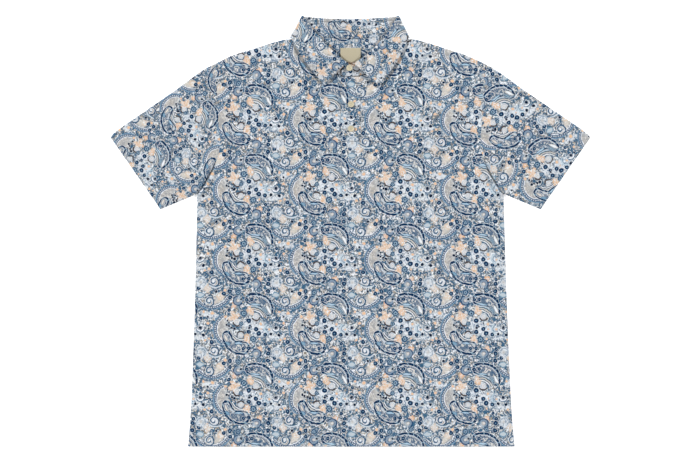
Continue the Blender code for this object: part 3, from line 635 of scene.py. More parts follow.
def crease_points(side):
    """Where the rim, the leaf's edge and the seam reach the side crease, as if on +X."""
    up, outward = crease_frame(side)
    inset = LEAF_FOLD_R + CLOTH / 2
    rim = np.append(COLLAR[side][0], 0) - outward * inset - up * CLOTH / 2
    edge = np.append(COLLAR[side][1], 0) - outward * inset
    return rim, edge, np.array([NECK_X, NECK_Y + STAND_OFFSET, 0]) - outward * (STAND_FOLD_R + CLOTH / 2)


def front_sections(side, shares):
    """Sections from the side crease to the centre front."""
    _, _, roll_end, roll_bow, leaf_point, edge_bow = COLLAR[side]
    up, _ = crease_frame(side)
    start_rim, start_edge, start_seam = crease_points(side)
    over = 1.0 if side > 0 else 0.0
    sections = []
    for t in shares:
        rim_xy = bowed(start_rim[:2], roll_end, -roll_bow, t)
        edge_xy = bowed(start_edge[:2], leaf_point, -edge_bow, t)
        angle_share = 1 - t * (1 - SEAM_END_SHARE)
        angle = angle_share * math.pi / 2
        inward = unit(np.array([-math.sin(angle) / NECK_X, math.cos(angle) / (NECK_Y - FRONT_NECK_Y)]))
        seam_xy = front_neckline(1, angle_share) + inward * STAND_OFFSET
        seam_xy = start_seam[:2] + (seam_xy - start_seam[:2]) * smooth(t * 5)
        along = unit(bowed(start_rim[:2], roll_end, -roll_bow, t + 0.02) - rim_xy)
        turn = smooth(t * 4)
        lip = np.append(unit(up[:2] * (1 - turn) + np.array([along[1], -along[0]]) * turn), 0)
        rise = (FRONT_RISE + over * FRONT_OVERLAP_RISE) * smooth(t * 1.15) ** 0.8
        radius = ROLL_R + (FRONT_ROLL_R - ROLL_R) * smooth(rise / 4.0)
        rim_z = FLOOR_LAYER + 2 * LEAF_FOLD_R - ROLL_R + rise
        seam_z = front_height(side * seam_xy[0], seam_xy[1])
        seam_z = seam_z + over * FRONT_OVERLAP_RISE * smooth((40.0 - seam_xy[0]) / 22.0)
        edge_z = front_height(side * edge_xy[0], edge_xy[1]) + 2 * ROLL_R + LEAF_LIFT * smooth(t * 3)
        edge_z += LEAF_SPRING * smooth(t * 5)
        sections.append(Section(mirrored((*rim_xy, rim_z), side), (0, 0, 1), mirrored(lip, side), radius,
                                mirrored((*edge_xy, edge_z), side), mirrored((*seam_xy, seam_z), side), side))
    return sections


def fold_sections(side, count):
    """Sections round the side crease, from the front layer to the back layer."""
    up, outward = crease_frame(side)
    middle = np.array([0, 0, FLOOR_LAYER + LEAF_FOLD_R])
    rim_axis, edge_axis, seam_axis = (point + middle for point in crease_points(side))
    sections = []
    for i in range(1, count):
        angle = math.pi / 2 - math.pi * i / count
        away = outward * math.cos(angle) + np.array([0, 0, math.sin(angle)])
        rim, towards_leaf, lip, edge, seam = (mirrored(vector, side) for vector in (
            rim_axis + away * (STAND_FOLD_R + ROLL_R), away, up, edge_axis + away * LEAF_FOLD_R,
            seam_axis + away * STAND_FOLD_R))
        sections.append(Section(rim, towards_leaf, lip, ROLL_R, edge, seam, side))
    return sections


def back_sections(count):
    """Sections across the back, from -X to +X."""
    sections = []
    for across in np.linspace(-1, 1, count + 1):
        side, size = (-1 if across < 0 else 1), abs(across)
        up, _ = crease_frame(side)
        rim, edge, seam = crease_points(side)
        seam_low = BACK_NECK_Y + STAND_OFFSET
        lip = unit(np.array([up[0] * smooth((size - 0.7) / 0.3), 1.0, 0.0]))
        sections.append(Section(
            (side * rim[0] * size, rim[1] - COLLAR_DIP * (1 - size ** 2), FLOOR_LAYER + ROLL_R), (0, 0, -1),
            mirrored(lip, side), ROLL_R,
            (side * edge[0] * size, LEAF_BACK_Y + (edge[1] - LEAF_BACK_Y) * size ** 2, FLOOR_LAYER),
            (side * seam[0] * size, seam_low + (seam[1] - seam_low) * size ** 2, FLOOR_LAYER + 2 * ROLL_R),
            0))
    return sections


def collar_sections():
    """All sections in order: -X front, -X crease, back, +X crease, +X front."""
    shares = stations(115.0, 2.5, start=False)
    left = front_sections(-1, shares)[::-1] + fold_sections(-1, 12)
    right = fold_sections(1, 12)[::-1] + front_sections(1, shares)
    return left + back_sections(56) + right


def build_leaf(sections):
    """The turned-down collar, with the roll and the strip inside it."""
    inner_steps, roll_steps = 3, 10
    rows = []
    for section in sections:
        row = section.roll_points(inner_steps, roll_steps)
        start = row[-1]
        front = section.towards_leaf[2] > 0.99
        for v in stations(48.0, 2.4, start=False)[1:]:
            point = start + (section.edge - start) * v
            if front:
                height = start[2] - (FLOOR_LAYER + 2 * LEAF_FOLD_R)
                point[2] += LEAF_BULGE * smooth(height / 3.0) * 4 * v * (1 - v)
                point[2] = max(point[2], front_height(point[0], point[1]) + LAYER + 0.05)
            row.append(point)
        rows.append(row)
    points = np.array(rows)
    x, y = points[..., 0], points[..., 1]
    part = np.array([section.part for section in sections])
    cell_part = np.where(part[:-1] == part[1:], part[:-1], 0)[:, None]
    outside = np.zeros((len(sections) - 1, points.shape[1] - 1), bool)
    outside[:, inner_steps + roll_steps // 2:] = True
    left = outside & (cell_part < 0)
    right = outside & (cell_part > 0)
    sewn = row_lengths(points)
    from_front = np.minimum(sewn, sewn[-1] - sewn)
    walked = along_rows(points)
    from_edge = np.minimum(walked[:, -1:] - walked, from_front)
    stitches = np.stack([sewn + walked, from_edge - LEAF_STITCH], axis=-1)
    add_grid("collar_leaf", points, print_at("inside", x, y), stitches, wall=CLOTH,
             others=[(left, print_at("leaf_right", x, y)), (right, print_at("leaf_left", x, y))])


def build_stand(sections):
    """The band between the neckline seam and the leaf; its ends lap at the centre front."""
    shares = stations(20.0, 2.2)

    def end_rows(side, last):
        over = 1.0 if side > 0 else 0.0
        top_z = last.stand_top()[2]
        made = []
        away_list, top_list = zip(*STAND_ENDS[side])
        for x_away in np.linspace(away_list[0], away_list[-1], 12):
            x = -side * x_away
            y_top = np.interp(x_away, away_list, top_list)
            seam_y = FRONT_NECK_Y + STAND_OFFSET
            low = np.array([x, seam_y, front_height(x, seam_y) + over * FRONT_OVERLAP_RISE])
            slope = (top_z - low[2]) / (last.stand_top()[1] - seam_y)
            high = np.array([x, y_top, low[2] + slope * (y_top - seam_y)])
            made.append([low + (high - low) * v for v in shares])
        return made

    rows = end_rows(-1, sections[0])[::-1]
    for section in sections:
        rise = section.stand_top() - section.seam
        rise *= 1 - 0.3 / np.linalg.norm(rise)
        rows.append([section.seam + rise * v for v in shares])
    rows += end_rows(1, sections[-1])
    points = np.array(rows)
    x, y = points[..., 0], points[..., 1]
    walked = along_rows(points)
    from_edge = np.minimum(walked[:, -1:] - walked, walked)
    stitches = np.stack([row_lengths(points), from_edge - STAND_STITCH], axis=-1)
    add_grid("collar_stand", points, print_at("inside", x, y), stitches, wall=CLOTH)


# ---------------------------------------------------------------- buttons and label
def disc_with_holes(radius, holes, hole_r, rim_points, hole_points):
    """Flat triangles of a disc with round holes: points, faces, and the loops of its edges."""
    loops = [[(radius * math.cos(math.tau * i / rim_points), radius * math.sin(math.tau * i / rim_points))
              for i in range(rim_points)]]
    for x, y in holes:
        loops.append([(x + hole_r * math.cos(-math.tau * i / hole_points),
                       y + hole_r * math.sin(-math.tau * i / hole_points)) for i in range(hole_points)])
    points, faces, start = [], [], 0
    for loop in loops:
        points += loop
        faces.append(list(range(start, start + len(loop))))
        start += len(loop)
    edges = [(f[i], f[(i + 1) % len(f)]) for f in faces for i in range(len(f))]
    flat, _, cells, origin, _, _ = delaunay_2d_cdt([(x, y) for x, y in points], edges, faces, 1, 1e-7)
    order = [o[0] for o in origin]
    kept = []
    for cell in cells:
        x = sum(flat[i][0] for i in cell) / len(cell)
        y = sum(flat[i][1] for i in cell) / len(cell)
        if all(math.hypot(x - hx, y - hy) > hole_r * 0.9 for hx, hy in holes):
            kept.append([order[i] for i in cell])
    return points, kept, faces


HOLE_X, HOLE_R = 1.25, 0.62
HOLES = [(-HOLE_X, -HOLE_X), (HOLE_X, -HOLE_X), (HOLE_X, HOLE_X), (-HOLE_X, HOLE_X)]
DISH_SHARE = 0.62                  # of the button's radius and height, for the dish inside its rim
BUTTON_FOOT = 0.15
# share of the radius and of the height, from the dish over the rim to the foot
BUTTON_PROFILE = [(0.66, 0.66), (0.72, 0.82), (0.79, 0.96), (0.86, 1.0), (0.93, 0.95), (0.98, 0.80),
                  (1.0, 0.62), (0.985, 0.40), (0.93, 0.18), (0.85, 0.04), (0.78, 0.0)]
BUTTON_TURNS = {"button_collar": 38.0, "button_1": 8.0, "button_2": -14.0}
THREAD_R = 0.17


def set_down(vertices, x0, y0, base_z, turn):
    """Points turned by an angle in degrees and moved to their place."""
    cos, sin = math.cos(math.radians(turn)), math.sin(math.radians(turn))
    return [(x0 + x * cos - y * sin, y0 + x * sin + y * cos, base_z + z) for x, y, z in vertices]


def build_button(node, base_z):
    """Four-hole button with a raised rim."""
    rim_points, hole_points = 48, 12
    flat, cells, loops = disc_with_holes(BUTTON_R * DISH_SHARE, HOLES, HOLE_R, rim_points, hole_points)
    vertices = [(x, y, z) for z in (BUTTON_WALL * DISH_SHARE, BUTTON_FOOT) for x, y in flat]
    half = len(flat)
    faces = [list(c) for c in cells] + [[i + half for i in c[::-1]] for c in cells]
    for loop in loops[1:]:
        for i, j in zip(loop, loop[1:] + loop[:1]):
            faces.append([i, j, j + half, i + half])
    rings = [list(range(rim_points))]
    for share, height in BUTTON_PROFILE:
        rings.append(list(range(len(vertices), len(vertices) + rim_points)))
        for i in range(rim_points):
            angle = math.tau * i / rim_points
            r = BUTTON_R * share
            vertices.append((r * math.cos(angle), r * math.sin(angle), BUTTON_WALL * height))
    rings.append([i + half for i in range(rim_points)])
    for inner, outer in zip(rings, rings[1:]):
        for i in range(rim_points):
            j = (i + 1) % rim_points
            faces.append([inner[i], outer[i], outer[j], inner[j]])
    place = (*BUTTONS[node], base_z, BUTTON_TURNS[node])
    obj = add_object(node + "_horn", set_down(vertices, *place), faces, "button_horn")
    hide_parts(node)
    build_thread(node + "_horn_thread", place)


def tube(path, radius, sides=6):
    """Vertices and faces of a round tube along a path of points."""
    path = np.array(path, float)
    along = unit(np.gradient(path, axis=0))
    side = unit(np.cross(along, np.array([0.03, 0.02, 1.0])))
    up = np.cross(side, along)
    vertices, faces = [], []
    for p, s, u in zip(path, side, up):
        for k in range(sides):
            angle = math.tau * k / sides
            vertices.append(p + (s * math.cos(angle) + u * math.sin(angle)) * radius)
    for i in range(len(path) - 1):
        for k in range(sides):
            a, b = i * sides + k, i * sides + (k + 1) % sides
            faces.append([a, b, b + sides, a + sides])
    faces.append(list(range(sides))[::-1])
    faces.append([len(vertices) - sides + k for k in range(sides)])
    return vertices, faces


def build_thread(name, place):
    """Two passes of sewing thread over the button, each from hole to hole."""
    vertices, faces = [], []
    for y in (-HOLE_X, HOLE_X):
        for shift in (-0.22, 0.22):
            path = []
            for share in np.linspace(-1, 1, 11):
                rise = 0.30 * (1 - share ** 4) - 0.7 * smooth((abs(share) - 0.75) / 0.25)
                path.append((share * 1.3, y + shift, BUTTON_WALL * DISH_SHARE + rise))
            more, cells = tube(set_down(path, *place), THREAD_R)
            faces += [[i + len(vertices) for i in cell] for cell in cells]
            vertices += more
    add_object(name, vertices, faces, "thread_cream")


def build_buttons(sections):
    """The collar button lies on the stand's upper end, the others on the upper placket."""
    for node, (x, y) in BUTTONS.items():
        if node == "button_collar":
            last = sections[-1]
            seam_y = FRONT_NECK_Y + STAND_OFFSET
            low = front_height(x, seam_y) + FRONT_OVERLAP_RISE
            slope = (last.stand_top()[2] - low) / (last.stand_top()[1] - seam_y)
            base = low + slope * (y + BUTTON_R - seam_y)
        else:
            offsets = (-BUTTON_R, 0, BUTTON_R)
            base = max(float(front_height(x + dx, y + dy)) + PLACKET_RISE for dx in offsets for dy in offsets)
        build_button(node, float(base) + CLOTH / 2 + BUTTON_GAP)


def build_label():
    """Blank woven label on the inside of the back panel, its lower edge slightly bowed."""
    u, v = np.meshgrid(np.linspace(-1, 1, 33), stations(LABEL_TOP_Y - LABEL_END_Y, 1.5))
    end_y = LABEL_END_Y + 1.2 * u ** 4
    x = LABEL_HALF_WIDTH * u
    y = end_y + (LABEL_TOP_Y - end_y) * v
    rise = CLOTH / 2 + SEAM_GAP + LABEL_WALL / 2 + LABEL_GAP
    sewn_top = seam_dip((1 - v) * 26.0, LABEL_DIP, 1.6)
    z = back_height(x, y) + rise + LABEL_BULGE * np.sin(v * math.pi) - sewn_top
    across = np.minimum(x + LABEL_HALF_WIDTH, LABEL_HALF_WIDTH - x)
    stitches = np.stack([x + y, np.minimum(across, LABEL_TOP_Y - y) - LABEL_STITCH], axis=-1)
    add_grid("label", np.dstack([x, y, z]), np.dstack([x, y]), stitches, wall=LABEL_WALL * 0.7,
             look="label_weave")


# ---------------------------------------------------------------- shader graphs
def linear(rgb):
    """A colour from 0 to 255 as light from 0 to 1, with an opacity of 1."""
    def one(c):
        c = c / 255.0
        return c / 12.92 if c <= 0.04045 else ((c + 0.055) / 1.055) ** 2.4
    return tuple(one(c) for c in rgb) + (1.0,)


class Value:
    """A number in a shader, with the usual arithmetic."""

    def __init__(self, graph, socket):
        self.graph = graph
        self.socket = socket

    def __abs__(self):
        return self.graph.math("ABSOLUTE", self)


for sign, operation in (("add", "ADD"), ("sub", "SUBTRACT"), ("mul", "MULTIPLY"), ("truediv", "DIVIDE")):
    setattr(Value, f"__{sign}__", lambda self, other, kind=operation: self.graph.math(kind, self, other))
    setattr(Value, f"__r{sign}__", lambda self, other, kind=operation: self.graph.math(kind, other, self))


class Graph:
    """Adds nodes to a tree."""

    def __init__(self, tree):
        self.tree = tree

    def node(self, kind, inputs=(), **settings):
        """A new node; inputs are in their order, or by name."""
        node = self.tree.nodes.new(kind)
        for key, value in settings.items():
            setattr(node, key, value)
        for key, value in inputs.items() if isinstance(inputs, dict) else enumerate(inputs):
            self.put(node.inputs[key], value)
        return node

    def put(self, socket, value):
        if isinstance(value, Value):
            value = value.socket
        if isinstance(value, bpy.types.NodeSocket):
            self.tree.links.new(value, socket)
        else:
            socket.default_value = value

    def math(self, operation, *inputs):
        return Value(self, self.node("ShaderNodeMath", inputs, operation=operation).outputs[0])

    def vector(self, operation, *inputs, scale=None):
        node = self.node("ShaderNodeVectorMath", inputs, operation=operation)
        if scale is not None:
            self.put(node.inputs["Scale"], scale)
        return Value(self, node.outputs[1 if operation in ("DISTANCE", "DOT_PRODUCT") else 0])

    def parts(self, kind, value):
        return [Value(self, socket) for socket in self.node(kind, [value]).outputs]

    def split(self, vector):
        return self.parts("ShaderNodeSeparateXYZ", vector)

    def channels(self, colour):
        return self.parts("ShaderNodeSeparateColor", colour)

    def join(self, x, y, z=0.0):
        return Value(self, self.node("ShaderNodeCombineXYZ", (x, y, z)).outputs[0])

    def step(self, value, low, high):
        """0 below low, 1 above high, smooth between; high may be the lower one."""
        inputs = {"Value": value, "From Min": low, "From Max": high}
        node = self.node("ShaderNodeMapRange", inputs, interpolation_type="SMOOTHSTEP", clamp=False)
        return Value(self, node.outputs[0])

    def mix(self, share, first, second):
        node = self.node("ShaderNodeMix", {"Factor": share}, data_type="RGBA")
        sockets = [socket for socket in node.inputs if socket.type == "RGBA"]
        for socket, value in zip(sockets, (first, second)):
            self.put(socket, linear(value) if isinstance(value, tuple) else value)
        return Value(self, [socket for socket in node.outputs if socket.type == "RGBA"][0])

    def ramp(self, value, stops):
        """Colours by value: stops of position, colour and, where given, opacity."""
        node = self.node("ShaderNodeValToRGB")
        elements = node.color_ramp.elements
        while len(elements) < len(stops):
            elements.new(0.5)
        for element, (position, rgb, *opacity) in zip(elements, stops):
            element.position = position
            element.color = linear(rgb)[:3] + (opacity[0] if opacity else 1.0,)
        self.put(node.inputs[0], value)
        return Value(self, node.outputs[0]), Value(self, node.outputs[1])

    def noise(self, vector, scale):
        """Flat noise with little detail, as a number and as a colour."""
        node = self.node("ShaderNodeTexNoise", {"Vector": vector, "Scale": scale, "Detail": 1.0},
                         noise_dimensions="2D")
        return Value(self, node.outputs[0]), Value(self, node.outputs["Color"])

    def cloth(self, layer):
        """Coordinates of a cloth layer, in millimetres."""
        uv = self.node("ShaderNodeUVMap", uv_map=layer)
        return self.vector("MULTIPLY", uv.outputs[0], (1 / MM, 1 / MM, 0.0))


# ---------------------------------------------------------------- the print
TILE_W, TILE_H = 138.2, 127.1      # one repeat
BEAD_PITCH = 4.1                   # of the ladders in the borders

SAND = (205, 200, 190)
LIGHT = (246, 248, 250)
MIST = (236, 240, 244)
PALE = (196, 210, 218)
SKY = (150, 180, 198)
DUSK = (84, 122, 156)
BLUE = (84, 130, 159)
STEEL = (52, 98, 130)
SLATE = (50, 86, 118)
RIM = (44, 84, 124)
NAVY = (14, 54, 89)
PEACH = (238, 202, 168)
ORANGE = (240, 186, 136)
BROWN = (84, 76, 76)


def bent_drop(handles, halves, steps=10):
    """Outline of a paisley: a drop along a bent line, from three handles and the half widths there."""
    sides = [[], []]
    for i in range(steps + 1):
        t = i / steps
        weights = ((1 - t) ** 2, 2 * t * (1 - t), t * t)
        x, y, half = (sum(w * v for w, v in zip(weights, row)) for row in (*zip(*handles), halves))
        run = [(1 - t) * (b - a) + t * (c - b) for a, b, c in zip(*handles)]
        turn = math.atan2(run[1], run[0])
        end = {0: 1, steps: -1}.get(i, 0)
        for side, quarter in zip(sides, (math.pi / 2, -math.pi / 2)):
            for share in (0.0, 0.35, 0.7, 1.0) if end else (0.0,):
                way = turn + quarter * (1 + end * share)
                side.append((x + half * math.cos(way), y + half * math.sin(way)))
    return sides[0] + sides[1]


class Print:
    """The all-over print, as colours over flat cloth coordinates in millimetres.

    Motifs are placed in chart units, x to the right and y down. A row of stops gives a place,
    a colour from 0 to 255 and, where it isn't 1, an opacity.
    """

    def __init__(self, graph, flat):
        self.g = graph
        self.wraps = {}
        _, push = graph.noise(flat, 0.16)
        push_x, push_y, _ = graph.channels(push)
        wobble = graph.join(push_x - 0.5, push_y - 0.5)
        self.warped = graph.vector("MULTIPLY_ADD", wobble, (9.0, 9.0, 0.0), flat)
        self.uv = graph.vector("MULTIPLY_ADD", wobble, (2.6, 2.6, 0.0), flat)

    # ---- places
    def near(self, x, y):
        """Cloth coordinates wrapped to one repeat round a quarter of the chart that x, y is in."""
        wide, high = TILE_W / CHART / 2, TILE_H / CHART / 2
        key = (math.floor(x / wide), math.floor(y / high))
        if key not in self.wraps:
            cx, cy = (key[0] + 0.5) * wide * CHART, -(key[1] + 0.5) * high * CHART
            self.wraps[key] = self.g.vector("WRAP", self.uv, (cx + TILE_W / 2, cy + TILE_H / 2, 1.0),
                                            (cx - TILE_W / 2, cy - TILE_H / 2, -1.0))
        return self.wraps[key]

    def spot(self, x, y):
        return (x * CHART, -y * CHART, 0.0)

    def turned(self, x, y, angle):
        """Coordinates round a place, along and across a direction in degrees."""
        place = self.g.vector("SUBTRACT", self.near(x, y), self.spot(x, y))
        along = (math.cos(math.radians(angle)), math.sin(math.radians(angle)), 0.0)
        across = (-along[1], along[0], 0.0)
        return self.g.vector("DOT_PRODUCT", place, along), self.g.vector("DOT_PRODUCT", place, across)

    def direction(self, x, y, angle=0.0):
        """Angle round a place from a direction in degrees, in radians."""
        along, across = self.turned(x, y, angle)
        return self.g.math("ARCTAN2", across, along)

    def far(self, x, y):
        return self.g.vector("DISTANCE", self.near(x, y), self.spot(x, y))

    # ---- colours
    def paint(self, share, colour):
        self.colour = self.g.mix(share, self.colour, colour)

    def lay(self, value, stops, inside=None):
        colour, alpha = self.g.ramp(value, stops)
        self.colour = self.g.mix(alpha if inside is None else alpha * inside, self.colour, colour)

    def cells(self, scale, seed, random=1.0):
        """Distance from the nearest of scattered points, and that point's own tint."""
        g = self.g
        node = g.node("ShaderNodeTexVoronoi", voronoi_dimensions="3D", feature="F1")
        g.put(node.inputs["Vector"], g.vector("ADD", self.warped, (0.0, 0.0, seed)))
        node.inputs["Scale"].default_value = scale
        node.inputs["Randomness"].default_value = random
        return Value(g, node.outputs["Distance"]), Value(g, node.outputs["Color"])

    def ground(self):
        """Small scrolls and dabs that fill the ground; their rings also ruffle the motifs."""
        step = self.g.step
        far, tint = self.cells(0.108, 3.0)
        self.ring = self.g.math("SINE", far * 12.5)
        tint_x, tint_y, _ = self.g.channels(tint)
        zones, _ = self.g.noise(self.warped, 0.045)
        self.colour, _ = self.g.ramp(zones + (tint_x - 0.5) * 0.35, [
            (0.30, (168, 155, 136)), (0.42, (192, 181, 163)), (0.50, (184, 190, 192)),
            (0.60, (152, 174, 188)), (0.72, (166, 157, 142))])
        self.paint(step(self.ring, 0.15, 0.5) * step(tint_y, 0.0, 0.2), (54, 98, 129))
        self.paint(step(self.ring, -0.56, -0.80) * 0.95, (250, 251, 252))
        self.fine, _ = self.g.noise(self.uv, 0.33)
        self.paint(step(self.fine, 0.54, 0.62) * 0.7, (112, 116, 118))
        self.paint(step(self.fine, 0.38, 0.30) * 0.85, (238, 240, 242))
        dabs, _ = self.cells(0.165, 17.0, 0.9)
        self.paint(step(dabs, 0.24, 0.12) * 0.95, (38, 74, 104))
        self.paint(step(abs(dabs - 0.42), 0.08, 0.03) * 0.45, (58, 92, 121))

    # ---- shapes
    def outline_curve(self, share, values):
        """A value by angle, from samples spaced evenly round the circle."""
        node = self.g.node("ShaderNodeFloatCurve")
        curve = node.mapping.curves[0]
        top = max(values) * 1.05
        samples = [v / top for v in values] + [values[0] / top]
        curve.points[0].location = (0.0, samples[0])
        curve.points[1].location = (1.0, samples[-1])
        for i in range(1, len(values)):
            curve.points.new(i / len(values), samples[i])
        for point in curve.points:
            point.handle_type = "AUTO"
        node.mapping.update()
        self.g.put(node.inputs["Value"], share)
        return Value(self.g, node.outputs[0]) * top

    def blob(self, x, y, outline):
        """Depth inside a shape, in millimetres, and the share of the turn round its centre x, y."""
        share = self.direction(x, y) * (1 / math.tau) + 0.5
        angles, radii = zip(*sorted(
            (math.atan2(y - v, u - x) / math.tau + 0.5, math.hypot(u - x, v - y) * CHART) for u, v in outline))
        count = 64
        even = np.interp(np.arange(count) / count, angles, radii, period=1.0)
        even = (np.roll(even, 1) + 2 * even + np.roll(even, -1)) / 4
        slope = (np.roll(even, -1) - np.roll(even, 1)) / (2 * math.tau / count)
        edge = self.outline_curve(share, even.tolist())
        steep = self.outline_curve(share, (1 / np.sqrt(1 + (slope / even) ** 2)).tolist())
        return (edge - self.far(x, y)) * steep, share

    def dots(self, places, stops):
        """Round motifs, coloured by how far out a point is: rows of x, y and radius."""
        nearest = None
        for x, y, radius in places:
            share = self.far(x, y) * (0.8 / (radius * CHART))
            nearest = share if nearest is None else self.g.math("MINIMUM", nearest, share)
        self.lay(nearest, stops)

    def strip(self, x, y, bend, middle, reach):
        """Along and out from a circular line; x, y is its centre, middle and reach in degrees."""
        angle = self.direction(x, y, middle)
        out = self.far(x, y) - bend * CHART
        half, soft = math.radians(reach), 0.5 / (bend * CHART)
        inside = self.g.step(abs(angle), half + soft, half - soft)
        return angle * (bend * CHART), out, inside

    def stroke(self, x, y, bend, middle, reach, half, colour, opacity=1.0):
        """Bent line that thins to its ends."""
        _, out, inside = self.strip(x, y, bend, middle, reach)
        self.paint(self.g.step(abs(out), half * CHART + 0.35, half * CHART - 0.35) * inside * opacity, colour)

    def lens(self, x, y, long, wide, angle, stops):
        """Pointed oval, coloured by how far out a point is."""
        along, across = self.turned(x, y, angle)
        u = along * (1.0 / (long * CHART))
        self.lay(abs(across) * (1.0 / (wide * CHART)) + u * u, stops)

    def star(self, x, y, radii, inner, outer):
        """Ragged flower; radii go round it, anticlockwise from +X."""
        share = self.direction(x, y) * (1 / math.tau) + 0.5
        half = len(radii) // 2
        edge = self.outline_curve(share, [r * CHART for r in radii[half:] + radii[:half]])
        depth = edge - self.far(x, y) + (self.fine - 0.5) * 6.5 + self.ring * 1.1
        self.lay(depth * 0.1 + 0.1, [
            (0.06, outer, 0.0), (0.14, outer, 0.9), (0.34, inner, 0.9), (0.42, LIGHT, 0.9),
            (0.5, LIGHT, 0.9), (0.56, inner, 0.9), (0.85, outer, 0.9)])

    def rosette(self, x, y, radius, petals):
        """Round flower with a scalloped rim."""
        angle = self.direction(x, y)
        far = self.far(x, y) * (0.8 / (radius * CHART)) + self.g.math("SINE", angle * petals) * 0.09
        self.lay(far, [(0.0, NAVY), (0.18, NAVY), (0.26, (176, 200, 215)), (0.40, (150, 180, 199)),
                       (0.46, (30, 72, 108)), (0.72, (36, 80, 116)), (0.79, PALE, 0.7), (0.86, PALE, 0.0)])

    def paisley(self, x, y, outline, hollow, reach):
        """Broken navy outline, beaded band and a mottled heart; x, y is a point inside its bend.

        The outline is thin on the hollow side, which is given by its middle and half width in degrees.
        """
        g, step = self.g, self.g.step
        depth, share = self.blob(x, y, outline)
        scale = 1 / 20.0
        self.lay(depth * scale + 3.5 * scale, [
            (0.10, LIGHT, 0.0), (0.12, LIGHT, 0.7), (0.135, LIGHT, 0.8), (0.15, NAVY), (0.35, NAVY),
            (0.365, (214, 222, 230)), (0.43, (206, 214, 222)), (0.44, (196, 196, 190)),
            (0.55, (200, 198, 192)), (0.56, (52, 92, 132)), (0.61, (58, 98, 138)), (0.63, (180, 182, 180)),
            (1.0, (160, 168, 174))])
        gaps = step(g.math("SINE", share * (math.tau * 12) + 1.0), 0.80, 0.95)
        self.paint(gaps * step(abs(depth - 1.5), 2.5, 2.0) * 0.8, SKY)
        beads = step(g.math("SINE", share * (math.tau * 26)), 0.0, 0.6)
        self.paint(beads * step(abs(depth - 6.4), 1.4, 0.9), (26, 66, 108))
        inside = step(depth, 8.4, 9.0)
        self.paint(inside * step(self.ring, -0.05, 0.6) * 0.8, (70, 102, 132))
        self.paint(inside * step(self.ring, -0.3, -0.8) * 0.85, (236, 232, 224))
        self.paint(inside * step(self.fine, 0.58, 0.63) * 0.8, (58, 94, 132))
        turned = abs(g.math("WRAP", share - (hollow / 360 + 0.5), 0.5, -0.5))
        thin = step(turned, (reach + 6) / 360, (reach - 6) / 360)
        self.paint(thin * step(abs(depth - 2.9), 1.0, 0.6), (206, 208, 208))

    def band(self, x, y, bend, middle, reach):
        """Long banded border: pale line, ladder of beads, blue line."""
        along, out, inside = self.strip(x, y, bend, middle, reach)
        self.lay(out * (1 / 11.0) + 0.5, [
            (0.082, LIGHT, 0.0), (0.095, LIGHT), (0.185, LIGHT), (0.205, RIM), (0.300, (46, 86, 126)),
            (0.318, (204, 210, 214)), (0.552, (200, 208, 214)), (0.568, RIM), (0.676, RIM), (0.695, SKY),
            (0.775, SKY), (0.790, DUSK), (0.850, DUSK), (0.875, DUSK, 0.0)], inside)
        beads = self.g.step(self.g.math("SINE", along * (math.tau / BEAD_PITCH)), -0.1, 0.5)
        self.paint(self.g.step(abs(out + 0.7), 1.25, 0.9) * beads * inside, (22, 56, 94))

    def curl(self, x, y, radius, turns, light, dark):
        """Spiral rosette with a broken rim."""
        g, step = self.g, self.g.step
        px, py = self.turned(x, y, 0.0)
        far = self.far(x, y) * (1.0 / (radius * CHART))
        angle = g.math("ARCTAN2", py, px)
        spiral = g.math("SINE", far * (turns * math.tau) + angle)
        inside = step(far, 1.04, 0.98)
        self.paint(inside * 0.95, light)
        self.paint(inside * step(spiral, 0.2, 0.5) * 0.95, (48, 92, 126))
        self.paint(inside * step(spiral, -0.5, -0.8) * step(self.ring, 0.2, -0.4), (176, 168, 156))
        rim = step(abs(far - 0.93), 0.10, 0.06) * (step(g.math("SINE", angle * 9.0), -0.5, 0.2) * 0.6 + 0.4)
        self.paint(rim, dark)
        self.paint(step(far, 0.2, 0.12) * 0.9, LIGHT)

    # ---- everything
    def build(self):
        """Lays the ground and then the motifs, the later ones over the earlier."""
        self.ground()
        # edges of motifs waver with the ground; this also makes the shader work them out after it
        self.uv = self.g.vector("ADD", self.uv, self.g.join(self.ring * 0.12, self.fine * 0.5))
        self.bright_ground()
        self.borders()
        self.flowers()
        self.paisleys()
        self.small_motifs()
        return self.colour

    def bright_ground(self):
        """Pale patches in the middle of the repeat and round the white flower."""
        step = self.g.step
        for x, y, long, wide, turn in ((765, 600, 330, 170, -8), (1030, 970, 130, 110, 80),
                                       (1180, 370, 190, 70, -10), (560, 480, 170, 70, 30),
                                       (1010, 730, 180, 55, 8)):
            self.lens(x, y, long, wide, turn, [
                (0.2, MIST, 0.8), (0.6, MIST, 0.55), (1.0, (230, 236, 240), 0.0)])
        self.paint(step(self.ring, 0.5, 0.8) * step(self.fine, 0.47, 0.52) * 0.8, (70, 112, 143))

